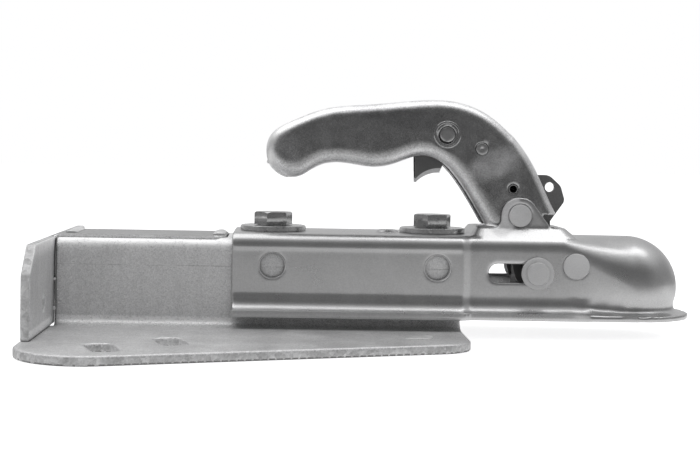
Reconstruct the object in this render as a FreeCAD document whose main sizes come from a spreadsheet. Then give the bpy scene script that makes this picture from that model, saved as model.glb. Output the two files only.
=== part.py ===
"""Trailer coupling head: a pressed 50 mm ball coupling bolted onto a flared drawbar adapter.

The origin is the centre of the towing ball, +X towards the nose, +Z up. Sizes are millimetres and degrees.
"""
import FreeCAD, Part
import math
import os
import Sketcher

from FreeCAD import Placement, Rotation, Vector

ORIGIN = Vector(0, 0, 0)
ALONG_X = Vector(1, 0, 0)
ALONG_Y = Vector(0, 1, 0)
ALONG_Z = Vector(0, 0, 1)
LAY_ALONG_Y = Rotation(ALONG_X, -90)

# Driving dimensions

SIZES = [
    ("ball_radius", 25.0, "towing ball"),
    ("seat_clearance", 0.2, "play between ball and nose"),
    ("running_clearance", 0.08, "radial play of a pin in its bore"),
    ("moving_gap", 0.5, "air between pieces that pass each other"),
    ("body_wall", 3.3, "pressed sheet of the coupling body"),
    ("body_length", 223.0, "ball centre to the rear of the body"),
    ("box_half_width", 33.5, "body over the drawbar tunnel"),
    ("neck_half_width", 30.5, "body beside the mechanism"),
    ("joggle_rear", 97.0, "where the body starts to narrow"),
    ("joggle_front", 92.0, "where it has narrowed"),
    ("dome_start", 40.0, "where the section starts to turn into the dome"),
    ("top_bend", 8.0, "outside bend radius along the top"),
    ("flange_drop", 17.0, "ball centre to the underside of the flange"),
    ("flange_bend", 4.0, "bend between wall and flange"),
    ("nose_bend", 2.0, "the same bend round the nose"),
    ("flange_reach", 6.0, "flange out from the wall"),
    ("nose_reach", 6.5, "flange out from the dome"),
    ("panel_depth", 0.4, "pressed panel in the rear of the sides"),
    ("panel_top", 20.5, "upper edge of the panel"),
    ("panel_foot", -8.5, "lower edge of the panel"),
    ("rim_height", 4.6, "raised rim above the top"),
    ("rim_front_slope", 5.4, "length of the slope ahead of the rim"),
    ("rim_rear_slope", 3.5, "length of the slope behind the rim"),
    ("rim_side_slope", 5.0, "width of the slope beside the rim"),
    ("rim_corner", 5.0, "corner radius of the rim"),
    ("rim_root", 1.0, "how far the slope reaches into the top"),
    ("rim_room_behind", 7.5, "rim opening behind the rounded end of the handle's sides"),
    ("rim_room_ahead", 8.9, "rim opening ahead of it"),
    ("ear_radius", 10.2, "rounded top of an ear"),
    ("ear_front", 17.4, "foot of the ear's front edge ahead of the pivot"),
    ("ear_flare", 4.5, "hollow curve at the foot of the rear edge"),
    ("emboss_behind", 136.2, "small dimple on top, behind the ball"),
    ("emboss_radius", 6.0, "small dimple on top"),
    ("emboss_height", 1.5, "small dimple on top"),
    ("pivot_behind", 63.9, "handle pivot behind the ball"),
    ("pivot_above", 39.8, "handle pivot above the ball"),
    ("pivot_pin_radius", 6.0, "handle pivot pin"),
    ("pivot_head_height", 1.2, "riveted end of the pivot pin"),
    ("pivot_head_radius", 6.3, "riveted end of the pivot pin"),
    ("handle_lift", 37.0, "handle travel"),
    ("slide_pin_behind", 55.4, "sliding pin behind the ball"),
    ("slide_pin_above", 8.6, "sliding pin above the ball centre"),
    ("slide_pin_radius", 5.0, "sliding pin"),
    ("slide_travel", 21.0, "travel of the sliding pin"),
    ("slide_end_play", 0.65, "slot beyond the travel at each end"),
    ("slide_head_radius", 6.4, "riveted end of the sliding pin"),
    ("slide_head_height", 2.0, "riveted end of the sliding pin"),
    ("slide_washer_radius", 9.0, "washer under that end"),
    ("slide_washer_thickness", 1.5, "washer under that end"),
    ("fixed_pin_behind", 34.2, "fixed pin behind the ball"),
    ("fixed_pin_above", 12.8, "fixed pin above the ball centre"),
    ("fixed_pin_radius", 6.0, "fixed pin"),
    ("fixed_head_radius", 7.2, "head of the fixed pin"),
    ("fixed_head_height", 1.6, "head of the fixed pin"),
    ("handle_half_width", 16.2, "handle across its sides"),
    ("handle_wall", 2.5, "pressed sheet of the handle"),
    ("handle_side_gap", 1.0, "play between handle and ear"),
    ("handle_roll", 7.0, "rolled long edges of the handle"),
    ("handle_slit", 16.0, "open slit along the underside"),
    ("handle_lobe", 13.5, "rounded lower end of the sides about the pivot"),
    ("handle_reach", 141.7, "pivot to the rear tip of the handle"),
    ("handle_lip_rise", 0.3, "lower edge of the handle's front face above the pivot"),
    ("handle_heel_drop", 7.8, "lower end of the handle's underside below the pivot"),
    ("plate_slot_rise", 37.2, "top of the slot for the lock plate above the pivot"),
    ("plate_slot_ahead", 3.0, "rear end of that slot ahead of the pivot"),
    ("lock_plate_thickness", 3.5, "lock plate"),
    ("lock_plate_hub", 10.5, "lock plate round the pivot pin"),
    ("lock_plate_step", 2.2, "front edge of the lock plate behind the front of its foot"),
    ("padlock_radius", 2.8, "padlock hole"),
    ("padlock_ahead", 19.6, "padlock hole ahead of the pivot"),
    ("padlock_rise", 15.7, "padlock hole above the pivot"),
    ("arm_thickness", 3.2, "drive arm"),
    ("arm_half_width", 10.0, "drive arm"),
    ("arm_slot_reach", 2.4, "radial play of the pin in the arm's slot"),
    ("jaw_half_width", 17.0, "ball jaw"),
    ("jaw_depth", 12.0, "jaw below the ball centre"),
    ("jaw_hub_radius", 8.5, "jaw round the sliding pin"),
    ("jaw_heel", 11.5, "wide part of the jaw starts this far ahead of its pin"),
    ("jaw_horn", 13.0, "foremost reach of the jaw behind the ball centre"),
    ("trigger_pin_back", 40.8, "trigger pin behind the pivot"),
    ("trigger_pin_rise", 44.3, "trigger pin above the pivot"),
    ("trigger_pin_radius", 4.25, "trigger pin"),
    ("dimple_radius", 8.2, "ring pressed round the trigger pin"),
    ("dimple_width", 0.9, "ring pressed round the trigger pin"),
    ("dimple_depth", 0.5, "ring pressed round the trigger pin"),
    ("trigger_half_width", 6.5, "trigger across its two cheeks"),
    ("trigger_sheet", 2.0, "folded sheet of the trigger"),
    ("rivet_back", 21.4, "spacer rivet behind the pivot"),
    ("rivet_rise", 36.7, "spacer rivet above the pivot"),
    ("rivet_radius", 3.0, "spacer rivet"),
    ("rivet_head_radius", 3.4, "head of the spacer rivet"),
    ("rivet_head_height", 0.8, "head of the spacer rivet"),
    ("roll_pin_back", 3.5, "roll pin behind the pivot"),
    ("roll_pin_rise", 14.6, "roll pin above the pivot"),
    ("roll_pin_radius", 2.65, "roll pin"),
    ("roll_pin_bore", 1.9, "hollow of the roll pin"),
    ("pawl_thickness", 3.0, "latch pawl"),
    ("handle_spring_wire", 1.0, "radius of the handle spring's wire"),
    ("handle_spring_turns", 2.75, "turns of the handle spring"),
    ("trigger_spring_wire", 0.7, "radius of the trigger spring's wire"),
    ("trigger_spring_turns", 2.75, "turns of the trigger spring"),
    ("spring_lead", 0.15, "air between two turns"),
    ("front_bolt_behind", 110.7, "front bolt behind the ball"),
    ("rear_bolt_inset", 22.0, "rear bolt ahead of the rear edge of the body"),
    ("bolt_radius", 6.0, "bolt shank"),
    ("bolt_length", 30.0, "bolt under its head"),
    ("bolt_hole_radius", 6.5, "bolt holes"),
    ("bolt_flats", 19.0, "hexagon across flats"),
    ("bolt_head_height", 7.5, "hexagon head"),
    ("hex_chamfer", 1.1, "corner chamfer of a hexagon"),
    ("nut_height", 10.0, "nut"),
    ("large_washer_radius", 18.5, "washer under the bolt head"),
    ("large_washer_thickness", 3.0, "washer under the bolt head"),
    ("small_washer_radius", 12.0, "washer under the tunnel roof"),
    ("small_washer_thickness", 2.5, "washer under the tunnel roof"),
    ("side_hole_radius", 6.75, "round holes in the sides"),
    ("side_hole_above", 11.0, "round holes above the ball centre"),
    ("adapter_plate", 5.0, "sheet of the adapter"),
    ("tunnel_play", 0.2, "body wall to tunnel wall"),
    ("tunnel_bend", 8.0, "outside bend along the tunnel roof"),
    ("foot_bend", 6.0, "hollow bend along the tunnel foot"),
    ("base_drop", 28.0, "ball centre to the underside of the base"),
    ("base_rear", 325.7, "ball centre to the rear edge of the base"),
    ("base_front", 96.9, "ball centre to the front edge of the base"),
    ("tunnel_rear", 319.2, "ball centre to the rear of the tunnel"),
    ("base_rear_half", 161.5, "half width of the base at its rear corners before rounding"),
    ("base_front_half", 85.7, "half width of the base at its front corners before rounding"),
    ("base_rear_corner", 35.0, "rear corner radius of the base"),
    ("base_front_corner", 20.0, "front corner radius of the base"),
    ("outer_slot_behind", 282.5, "outer skewed slot behind the ball"),
    ("outer_slot_side", 117.0, "outer skewed slot from the middle"),
    ("inner_slot_behind", 251.0, "inner skewed slot behind the ball"),
    ("inner_slot_side", 92.0, "inner skewed slot from the middle"),
    ("base_slot_length", 28.0, "skewed slot end to end"),
    ("base_slot_width", 13.5, "skewed slot"),
    ("end_plate_gap", 0.8, "gap between end plate and tunnel"),
    ("wing_half_width", 102.0, "end plate"),
    ("wing_top_half_width", 87.0, "end plate along its top"),
    ("wing_shoulder", 9.7, "top of the end plate's upright sides"),
    ("wing_top", 24.4, "top of the end plate"),
    ("wing_corner", 3.0, "rounded corners of the end plate"),
    ("wing_hole_radius", 5.25, "holes in the end plate"),
    ("wing_hole_side", 61.0, "holes from the middle"),
    ("wing_hole_drop", 8.0, "holes below the ball centre"),
    ("tongue_half_width", 23.4, "tongue of the end plate"),
    ("tongue_clearance", 4.0, "free end of the tongue behind the rear edge of the body"),
    ("tongue_proud", 1.0, "tongue above the tunnel roof"),
    ("tongue_gap", 0.6, "gap round the tongue"),
    ("tongue_bend", 8.0, "outside bend from end plate to tongue"),
    ("tongue_end", 6.0, "corner radius of the tongue's end"),
    ("weld_half_width", 17.0, "plug weld across the tongue"),
    ("weld_length", 8.0, "plug weld along the tongue"),
    ("weld_height", 1.4, "crown of a plug weld above the tongue"),
]

doc = FreeCAD.newDocument("TrailerCouplingHead")
sheet = doc.addObject("Spreadsheet::Sheet", "sizes")
for row, (alias, value, meaning) in enumerate(SIZES, start=1):
    sheet.set(f"A{row}", str(value))
    sheet.setAlias(f"A{row}", alias)
    sheet.set(f"B{row}", meaning)
doc.recompute()


def size(alias):
    """The value of one cell of the sheet."""
    return float(sheet.get(alias))


# Sizes that follow from the driving ones

WALL = size("body_wall")
PLATE = size("adapter_plate")
NOSE = size("ball_radius") + size("seat_clearance") + WALL
FLANGE_FOOT = -size("flange_drop")
FLANGE_TOP = FLANGE_FOOT + WALL
RIM_TOP = NOSE + size("rim_height")
EAR_INSIDE = size("handle_half_width") + size("handle_side_gap")
EAR_OUTSIDE = EAR_INSIDE + WALL
PIVOT = Vector(-size("pivot_behind"), 0, size("pivot_above"))
SLIDE_PIN = Vector(-size("slide_pin_behind"), 0, size("slide_pin_above"))
FIXED_PIN = Vector(-size("fixed_pin_behind"), 0, size("fixed_pin_above"))
TRIGGER_PIN = PIVOT + Vector(-size("trigger_pin_back"), 0, size("trigger_pin_rise"))
RIVET = PIVOT + Vector(-size("rivet_back"), 0, size("rivet_rise"))
ROLL_PIN = PIVOT + Vector(-size("roll_pin_back"), 0, size("roll_pin_rise"))
PADLOCK = PIVOT + Vector(size("padlock_ahead"), 0, size("padlock_rise"))
BOLTS = {"rear": -size("body_length") + size("rear_bolt_inset"), "front": -size("front_bolt_behind")}
ROOF = NOSE - WALL
TUNNEL_HALF = size("box_half_width") - WALL - size("tunnel_play")
BASE_FOOT = -size("base_drop")
BASE_TOP = BASE_FOOT + PLATE
TUNNEL_FRONT = -size("joggle_rear") - size("moving_gap")
WING_FRONT = -size("tunnel_rear") - size("end_plate_gap")
WING_REAR = WING_FRONT - PLATE
TONGUE_FRONT = -size("body_length") - size("tongue_clearance")
LOBE_REAR = PIVOT.x - size("handle_lobe")
LOBE_FRONT = PIVOT.x + size("handle_lobe")
HANDLE_INSIDE = size("handle_half_width") - size("handle_wall")


# Small helpers

def at(x, z, y=0.0):
    """A point given by its side-view place."""
    return Vector(x, y, z)


def feature(label, shape):
    """A document object that holds a finished shape under its own label."""
    item = doc.addObject("Part::Feature", label)
    item.Label = label
    item.Shape = shape
    return item


def bind(item, **expressions):
    """Ties properties of a document object to cells of the sheet."""
    for name, expression in expressions.items():
        item.setExpression(name.replace("__", "."), expression)
    return item


def rod(radius, start, end):
    """A round bar between two points."""
    axis = end - start
    return Part.makeCylinder(radius, axis.Length, start, axis)


def cross_rod(radius, centre, low, high):
    """A round bar that lies across the object from one side to the other."""
    return rod(radius, Vector(centre.x, low, centre.z), Vector(centre.x, high, centre.z))


def slab(outline, low, high):
    """A plate with a side-view outline, between two places across the object."""
    face = Part.Face(outline)
    face.translate(Vector(0, low - outline.BoundBox.YMin, 0))
    return face.extrude(Vector(0, high - low, 0))


def closed(edges):
    """A closed wire from edges in order."""
    return Part.Wire(Part.__sortEdges__(edges))


def polygon(points):
    """A closed wire of straight edges."""
    return Part.makePolygon(list(points) + [points[0]])


def line(start, end):
    """One straight edge."""
    return Part.LineSegment(start, end).toShape()


def arc(start, middle, end):
    """One round edge through three points."""
    return Part.Arc(start, middle, end).toShape()


def rounded(points, radii):
    """A closed outline with straight sides whose corners are rounded, each by its own radius."""
    count = len(points)
    edges = []
    ends = []
    for index, (corner, radius) in enumerate(zip(points, radii)):
        before = (points[index - 1] - corner).normalize()
        after = (points[(index + 1) % count] - corner).normalize()
        if radius == 0:
            ends.append((corner, None, corner))
            continue
        half = before.getAngle(after) / 2
        back = radius / math.tan(half)
        bisector = (before + after).normalize()
        middle = corner + bisector * (radius / math.sin(half) - radius)
        ends.append((corner + before * back, middle, corner + after * back))
    for index, (start, middle, end) in enumerate(ends):
        if middle is not None:
            edges.append(arc(start, middle, end))
        following = ends[(index + 1) % count][0]
        if (following - end).Length > 1e-6:
            edges.append(line(end, following))
    return Part.Wire(edges)


def turned(shape, centre, degrees):
    """A copy turned about a cross axis; positive lifts what lies behind the centre."""
    copy = shape.copy()
    copy.rotate(centre, ALONG_Y, degrees)
    return copy


# Section of the pressed body

def section_half(half_width, corner, bend, reach, wall_radius=None):
    """Points of one half of the body's section, as pairs of place across and height.

    The wall goes straight down, or follows a circle about the ball centre where wall_radius is given, into a
    hollow bend and out into the flange.
    """
    def offset_points(inward):
        top = NOSE - inward
        side = half_width - inward
        radius = corner - inward
        middle_angle = math.radians(45)
        centre_z = NOSE - corner
        crown = (half_width - corner, top)
        shoulder = (half_width - corner + radius * math.cos(middle_angle),
                    centre_z + radius * math.sin(middle_angle))
        if wall_radius is None:
            bend_across = half_width + bend
            wall_end = (side, FLANGE_TOP + bend)
            wall_middle = (side, (NOSE - corner + FLANGE_TOP + bend) / 2)
            bend_from = math.pi
        else:
            height = FLANGE_TOP + bend
            bend_across = math.sqrt((wall_radius + bend) ** 2 - height ** 2)
            slope = math.atan2(height, bend_across)
            wall_end = ((wall_radius - inward) * math.cos(slope), (wall_radius - inward) * math.sin(slope))
            wall_middle = ((wall_radius - inward) * math.cos(slope / 2),
                           (wall_radius - inward) * math.sin(slope / 2))
            bend_from = math.pi + slope
        hollow = bend + inward
        centre = (bend_across, FLANGE_TOP + bend)
        halfway = (bend_from + 1.5 * math.pi) / 2
        bend_middle = (centre[0] + hollow * math.cos(halfway), centre[1] + hollow * math.sin(halfway))
        bend_end = (centre[0], centre[1] - hollow)
        return {"peak": (0.0, top), "crown": crown, "shoulder": shoulder, "side": (side, centre_z),
                "wall_middle": wall_middle, "wall_end": wall_end, "bend_middle": bend_middle,
                "bend_end": bend_end, "tip": (half_width + reach, FLANGE_TOP - inward)}
    return offset_points(0.0), offset_points(WALL)


def wall_edge(points, place):
    """The wall of a section: straight, or an arc where its middle lies off the straight line."""
    start, middle, end = (place(*points[name]) for name in ("side", "wall_middle", "wall_end"))
    if (middle - (start + end) * 0.5).Length < 1e-6:
        return line(start, end)
    return arc(start, middle, end)


def section_edges(points, place, domed):
    """Edges of one skin of a half section, from the peak to the tip of the flange."""
    across, height = points["side"]
    crown_across, crown_height = points["crown"]
    radius = crown_height - height
    steps = [math.radians(angle) for angle in (67.5, 45, 22.5)]
    ring = [place(crown_across + radius * math.cos(angle), height + radius * math.sin(angle))
            for angle in steps]
    edges = []
    if domed:
        edges.append(arc(place(*points["peak"]), ring[0], ring[1]))
        edges.append(arc(ring[1], ring[2], place(*points["side"])))
    else:
        edges.append(line(place(*points["peak"]), place(*points["crown"])))
        edges.append(arc(place(*points["crown"]), ring[1], place(*points["side"])))
    edges.append(wall_edge(points, place))
    edges.append(arc(place(*points["wall_end"]), place(*points["bend_middle"]), place(*points["bend_end"])))
    edges.append(line(place(*points["bend_end"]), place(*points["tip"])))
    return edges


def body_section(x, half_width, corner, bend, reach, wall_radius=None):
    """The whole closed section of the pressed sheet at one place along the body."""
    outer, inner = section_half(half_width, corner, bend, reach, wall_radius)
    domed = corner >= half_width
    halves = []
    for hand in (1, -1):
        def place(across, height, hand=hand):
            return Vector(x, hand * across, height)
        halves.append((section_edges(outer, place, domed), section_edges(inner, place, domed),
                       line(place(*outer["tip"]), place(*inner["tip"]))))
    right, left = halves
    return Part.Wire(right[0] + [right[2]] + right[1][::-1] + left[1] + [left[2]] + left[0][::-1])


def nose_ring():
    """The dome and its flange: half a section turned half a turn about the upright axis."""
    outer, inner = section_half(NOSE, NOSE, size("nose_bend"), size("nose_reach"), NOSE)

    def place(across, height):
        return Vector(0, -across, height)
    edges = section_edges(outer, place, True)
    edges.append(line(place(*outer["tip"]), place(*inner["tip"])))
    edges += section_edges(inner, place, True)[::-1]
    edges.append(line(place(*inner["peak"]), place(*outer["peak"])))
    return Part.Face(Part.Wire(edges)).revolve(ORIGIN, ALONG_Z, 180)


def rounded_plan(rear, front, half_width, corner, z):
    """A rectangle with rounded corners, seen from above."""
    points = [Vector(rear, -half_width, z), Vector(front, -half_width, z),
              Vector(front, half_width, z), Vector(rear, half_width, z)]
    return rounded(points, [corner] * 4)


def rim_block(inset):
    """The raised rim round the top opening, drawn in by the sheet where inset is the wall."""
    rear = LOBE_REAR - size("rim_room_behind") - WALL + inset
    front = LOBE_FRONT + size("rim_room_ahead") + WALL - inset
    low = NOSE - size("rim_root") - inset
    high = RIM_TOP - inset
    reach = (high - low) / size("rim_height")
    corner = size("rim_corner") - inset * 0.6
    upper = rounded_plan(rear, front, EAR_OUTSIDE - inset, corner, high)
    lower = rounded_plan(rear - size("rim_rear_slope") * reach, front + size("rim_front_slope") * reach,
                         EAR_OUTSIDE - inset + size("rim_side_slope") * reach,
                         corner + size("rim_rear_slope"), low)
    return Part.makeLoft([lower, upper], True, True), rear, front, corner


def ear_outline():
    """Side view of an ear: round about the pivot, straight in front, hollow at the rear foot."""
    radius = size("ear_radius")
    foot = NOSE + size("rim_root")
    front = at(PIVOT.x + size("ear_front"), RIM_TOP)
    reach = front - PIVOT
    angle = math.atan2(reach.z, reach.x) + math.acos(radius / reach.Length)
    tangent = PIVOT + at(radius * math.cos(angle), radius * math.sin(angle))
    top = PIVOT + at(radius * math.cos((angle + math.pi) / 2), radius * math.sin((angle + math.pi) / 2))
    left = PIVOT + at(-radius, 0)
    flare = size("ear_flare")
    flare_start = at(left.x, RIM_TOP + flare)
    flare_middle = at(left.x - flare * (1 - math.cos(math.radians(45))),
                      RIM_TOP + flare * (1 - math.sin(math.radians(45))))
    flare_end = at(left.x - flare, RIM_TOP)
    front_foot = at(front.x + (front.x - tangent.x) * (RIM_TOP - foot) / (tangent.z - RIM_TOP), foot)
    return Part.Wire([arc(tangent, top, left), line(left, flare_start),
                      arc(flare_start, flare_middle, flare_end), line(flare_end, at(flare_end.x, foot)),
                      line(at(flare_end.x, foot), front_foot), line(front_foot, tangent)])


def slot_outline(start, end, radius):
    """A slot with round ends between two centres in side view."""
    direction = (end - start).normalize()
    normal = Vector(-direction.z, 0, direction.x) * radius
    nose = direction * radius
    return Part.Wire([line(start - normal, end - normal), arc(end - normal, end + nose, end + normal),
                      line(end + normal, start + normal), arc(start + normal, start - nose, start - normal)])


def build_body():
    """The pressed body with rim, ears, slots and holes."""
    box = size("box_half_width")
    neck = size("neck_half_width")
    bend, reach, corner = size("flange_bend"), size("flange_reach"), size("top_bend")
    stations = [body_section(-size("body_length"), box, corner, bend, reach),
                body_section(-size("joggle_rear"), box, corner, bend, reach),
                body_section(-size("joggle_front"), neck, corner, bend, reach),
                body_section(-size("dome_start"), neck, corner, bend, reach)]
    shell = Part.makeLoft(stations, True, True)
    last = body_section(-size("dome_start"), neck, corner, bend, reach)
    dome = body_section(0, NOSE, NOSE, size("nose_bend"), size("nose_reach"), NOSE)
    shell = shell.fuse([Part.makeLoft([last, dome], True, True), nose_ring()])
    rim, rim_rear, rim_front, rim_corner = rim_block(0.0)
    hollow, rear, front, inner_corner = rim_block(WALL)
    opening = Part.Face(rounded_plan(rear, front, EAR_INSIDE, inner_corner, ROOF - 1))
    opening = opening.extrude(Vector(0, 0, RIM_TOP - ROOF + 2))
    below = Part.makeBox(rim_front - rim_rear + 40, 2 * neck, 20,
                         Vector(rim_rear - 20, -neck, ROOF - 20))
    rim = rim.cut([hollow, opening, below])
    shell = shell.cut([hollow, opening]).fuse(rim)
    for hand in (1, -1):
        low, high = sorted((hand * EAR_INSIDE, hand * EAR_OUTSIDE))
        shell = shell.fuse(slab(ear_outline(), low, high))
    emboss = Part.makeCylinder(size("emboss_radius"), size("emboss_height"),
                               at(-size("emboss_behind"), NOSE))
    emboss = emboss.makeFillet(size("emboss_height") * 0.9, [emboss.Edges[0]])
    shell = shell.fuse(emboss)
    wide = size("box_half_width") + size("flange_reach")
    cuts = [cross_rod(size("pivot_pin_radius") + size("running_clearance"), PIVOT, -wide, wide),
            cross_rod(size("fixed_pin_radius") + size("running_clearance"), FIXED_PIN, -wide, wide)]
    clearance = size("slide_end_play")
    slot = slot_outline(SLIDE_PIN - at(size("slide_travel") + clearance, 0), SLIDE_PIN + at(clearance, 0),
                        size("slide_pin_radius") + size("running_clearance"))
    cuts.append(slab(slot, -wide, wide))
    for x in BOLTS.values():
        cuts.append(Part.makeCylinder(size("bolt_hole_radius"), WALL * 3, at(x, ROOF - WALL)))
        cuts.append(cross_rod(size("side_hole_radius"), at(x, size("side_hole_above")), -wide, wide))
    depth = size("panel_depth")
    length = size("body_length") - size("joggle_rear")
    for hand in (1, -1):
        near = hand * box if hand < 0 else box - depth
        cuts.append(Part.makeBox(length + 1, depth, size("panel_top") - size("panel_foot"),
                                 Vector(-size("body_length") - 1, near, size("panel_foot"))))
    return shell.cut(cuts).removeSplitter()


feature("coupling_body", build_body())


# Riveted pins

def headed_pin(label, centre, radius, head_radius, head_height, inside):
    """A pin across the object with a flat riveted head at both ends, outside the given place."""
    total = inside + head_height
    shank = doc.addObject("Part::Cylinder", label + "_shank")
    bind(shank, Radius=radius)
    shank.Height = 2 * inside
    shank.Placement = Placement(Vector(centre.x, -inside, centre.z), LAY_ALONG_Y)
    heads = []
    for name, start in (("near", -total), ("far", inside)):
        head = doc.addObject("Part::Cylinder", f"{label}_{name}_head")
        bind(head, Radius=head_radius)
        head.Height = head_height
        head.Placement = Placement(Vector(centre.x, start, centre.z), LAY_ALONG_Y)
        heads.append(head)
    pin = doc.addObject("Part::MultiFuse", label)
    pin.Label = label
    pin.Shapes = [shank] + heads
    doc.recompute()
    return pin


def wall_at(x):
    """Half width of the body at a place between the joggle and the nose."""
    start = -size("dome_start")
    if x <= start:
        return size("neck_half_width")
    share = (x - start) / -start
    return size("neck_half_width") + (NOSE - size("neck_half_width")) * share


headed_pin("pivot_pin", PIVOT, "sizes.pivot_pin_radius", "sizes.pivot_head_radius",
           size("pivot_head_height"), EAR_OUTSIDE)
headed_pin("fixed_pin", FIXED_PIN, "sizes.fixed_pin_radius", "sizes.fixed_head_radius",
           size("fixed_head_height"), wall_at(FIXED_PIN.x - size("fixed_head_radius")))
SLIDE_WASHER_SEAT = size("neck_half_width") + size("moving_gap") * 0.6
headed_pin("sliding_pin", SLIDE_PIN, "sizes.slide_pin_radius", "sizes.slide_head_radius",
           size("slide_head_height"), SLIDE_WASHER_SEAT + size("slide_washer_thickness"))
for side_name, hand in (("near", -1), ("far", 1)):
    inside = hand * SLIDE_WASHER_SEAT
    outside = hand * (SLIDE_WASHER_SEAT + size("slide_washer_thickness"))
    low, high = sorted((inside, outside))
    washer = cross_rod(size("slide_washer_radius"), SLIDE_PIN, low, high)
    bore = cross_rod(size("slide_pin_radius"), SLIDE_PIN, low, high)
    feature(side_name + "_slide_washer", washer.cut(bore))


# Handle

def grip(share, rise):
    """A point of the grip: its share of the way from the trigger pin to the rear tip, and its rise."""
    length = size("handle_reach") - size("trigger_pin_back")
    return TRIGGER_PIN + at(-share * length, rise)


def handle_curve(inset):
    """The closed side-view curve of the handle, drawn in by the sheet where inset is the wall."""
    grip_over = [grip(1.0, -10.1), grip(0.962, 0.1), grip(0.853, 6.7), grip(0.683, 13.4), grip(0.458, 16.1),
                 grip(0.194, 18.7)]
    front = [PIVOT + at(along, up) for along, up in (
        (-40.1, 63.6), (-22.1, 58.7), (-7.7, 48.5), (6.7, 30.8), (15.4, 13.7), (21.6, 1.2), (27.8, -10.8),
        (27.9, -23.8), (-8.1, -23.8), (-16.6, -10.8), (-26.4, 6.5), (-35.0, 19.3), (-44.5, 28.8))]
    grip_under = [grip(0.132, -12.3), grip(0.261, -16.4), grip(0.409, -19.4), grip(0.578, -17.1),
                  grip(0.712, -19.3), grip(0.826, -25.8), grip(0.94, -22.9)]
    through = grip_over + front + grip_under
    curve = Part.BSplineCurve()
    curve.interpolate(Points=through, PeriodicFlag=True)
    if inset == 0:
        return Part.Wire([curve.toShape()])
    moved = []
    for point in through:
        tangent = curve.tangent(curve.parameter(point))[0]
        moved.append(point + Vector(tangent.z, 0, -tangent.x) * inset)
    inner = Part.BSplineCurve()
    inner.interpolate(Points=moved, PeriodicFlag=True)
    return Part.Wire([inner.toShape()])


def rounded_slab(outline, half_width, radius):
    """A slab whose two long edges are rolled."""
    block = slab(outline, -half_width, half_width)
    return block.makeFillet(radius, block.Edges) if radius > 0 else block


def handle_lower_trim():
    """What is trimmed away below the handle: the sides end round about the pivot."""
    wide = size("handle_half_width") + 1
    rise, drop = size("handle_lip_rise"), -size("handle_heel_drop")
    block = polygon([PIVOT + at(*place) for place in (
        (34.0, rise), (0, rise), (0, drop), (-46.0, drop), (-46.0, -40.0), (34.0, -40.0))])
    return slab(block, -wide, wide).cut(cross_rod(size("handle_lobe"), PIVOT, -wide, wide))


def slit_outline():
    """Side view of what the slit takes out of the underside."""
    ends = grip(0.875, -17.0), PIVOT + at(1.9, -19.8)
    middle = Part.BSplineCurve()
    middle.interpolate([ends[0], grip(0.776, -9.1), grip(0.598, -2.1), grip(0.35, -0.6), grip(0.132, 1.9),
                        PIVOT + at(-35.1, 39.2), PIVOT + at(-20.1, 23.2), PIVOT + at(-6.1, 2.2), ends[1]])
    low = at(0, -40.0)
    return Part.Wire([middle.toShape(), line(ends[1], ends[1] + low), line(ends[1] + low, ends[0] + low),
                      line(ends[0] + low, ends[0])])


def build_handle():
    """The pressed handle: a hollow grip, open below, slotted in front for the lock plate."""
    wall = size("handle_wall")
    outer = rounded_slab(handle_curve(0), size("handle_half_width"), size("handle_roll"))
    inner = rounded_slab(handle_curve(wall), HANDLE_INSIDE, size("handle_roll") - wall)
    shell = outer.cut(inner)
    half = size("handle_slit") / 2
    plate_half = size("lock_plate_thickness") / 2 + size("moving_gap")
    slot_top = PIVOT.z + size("plate_slot_rise")
    front_slot = Part.makeBox(40, 2 * plate_half, slot_top,
                              Vector(PIVOT.x + size("plate_slot_ahead"), -plate_half, 0))
    cuts = [slab(slit_outline(), -half, half), handle_lower_trim(), front_slot]
    wide = size("handle_half_width") + 1
    pins = [(size("pivot_pin_radius") + size("running_clearance"), PIVOT),
            (size("trigger_pin_radius"), TRIGGER_PIN), (size("rivet_radius"), RIVET),
            (size("roll_pin_radius"), ROLL_PIN)]
    cuts += [cross_rod(radius, centre, -wide, wide) for radius, centre in pins]
    for hand in (1, -1):
        edge = hand * size("handle_half_width")
        low, high = sorted((edge, edge - hand * size("dimple_depth")))
        ring = cross_rod(size("dimple_radius"), TRIGGER_PIN, low, high)
        cuts.append(ring.cut(cross_rod(size("dimple_radius") - size("dimple_width"), TRIGGER_PIN, low, high)))
    return shell.cut(cuts)


feature("handle", build_handle())

ARM_OUTSIDE = HANDLE_INSIDE
ARM_INSIDE = HANDLE_INSIDE - size("arm_thickness")


def build_arm(hand):
    """One drive arm: from above the pivot down to the sliding pin, which runs in its short slot."""
    low, high = sorted((hand * ARM_INSIDE, hand * ARM_OUTSIDE))
    axis = (SLIDE_PIN - PIVOT).normalize()
    top = PIVOT - axis * 4
    plate = slot_outline(top, SLIDE_PIN, size("arm_half_width"))
    hole_radius = size("slide_pin_radius") + size("moving_gap") * 1.3
    slot = slot_outline(SLIDE_PIN - axis * size("arm_slot_reach"),
                        SLIDE_PIN + axis * size("arm_slot_reach"), hole_radius)
    cuts = [slab(slot, low, high),
            cross_rod(size("pivot_pin_radius") + size("running_clearance"), PIVOT, low, high),
            cross_rod(size("roll_pin_radius"), ROLL_PIN, low, high)]
    return slab(plate, low, high).cut(cuts)


feature("near_drive_arm", build_arm(-1))
feature("far_drive_arm", build_arm(1))


# Lock plate

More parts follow.
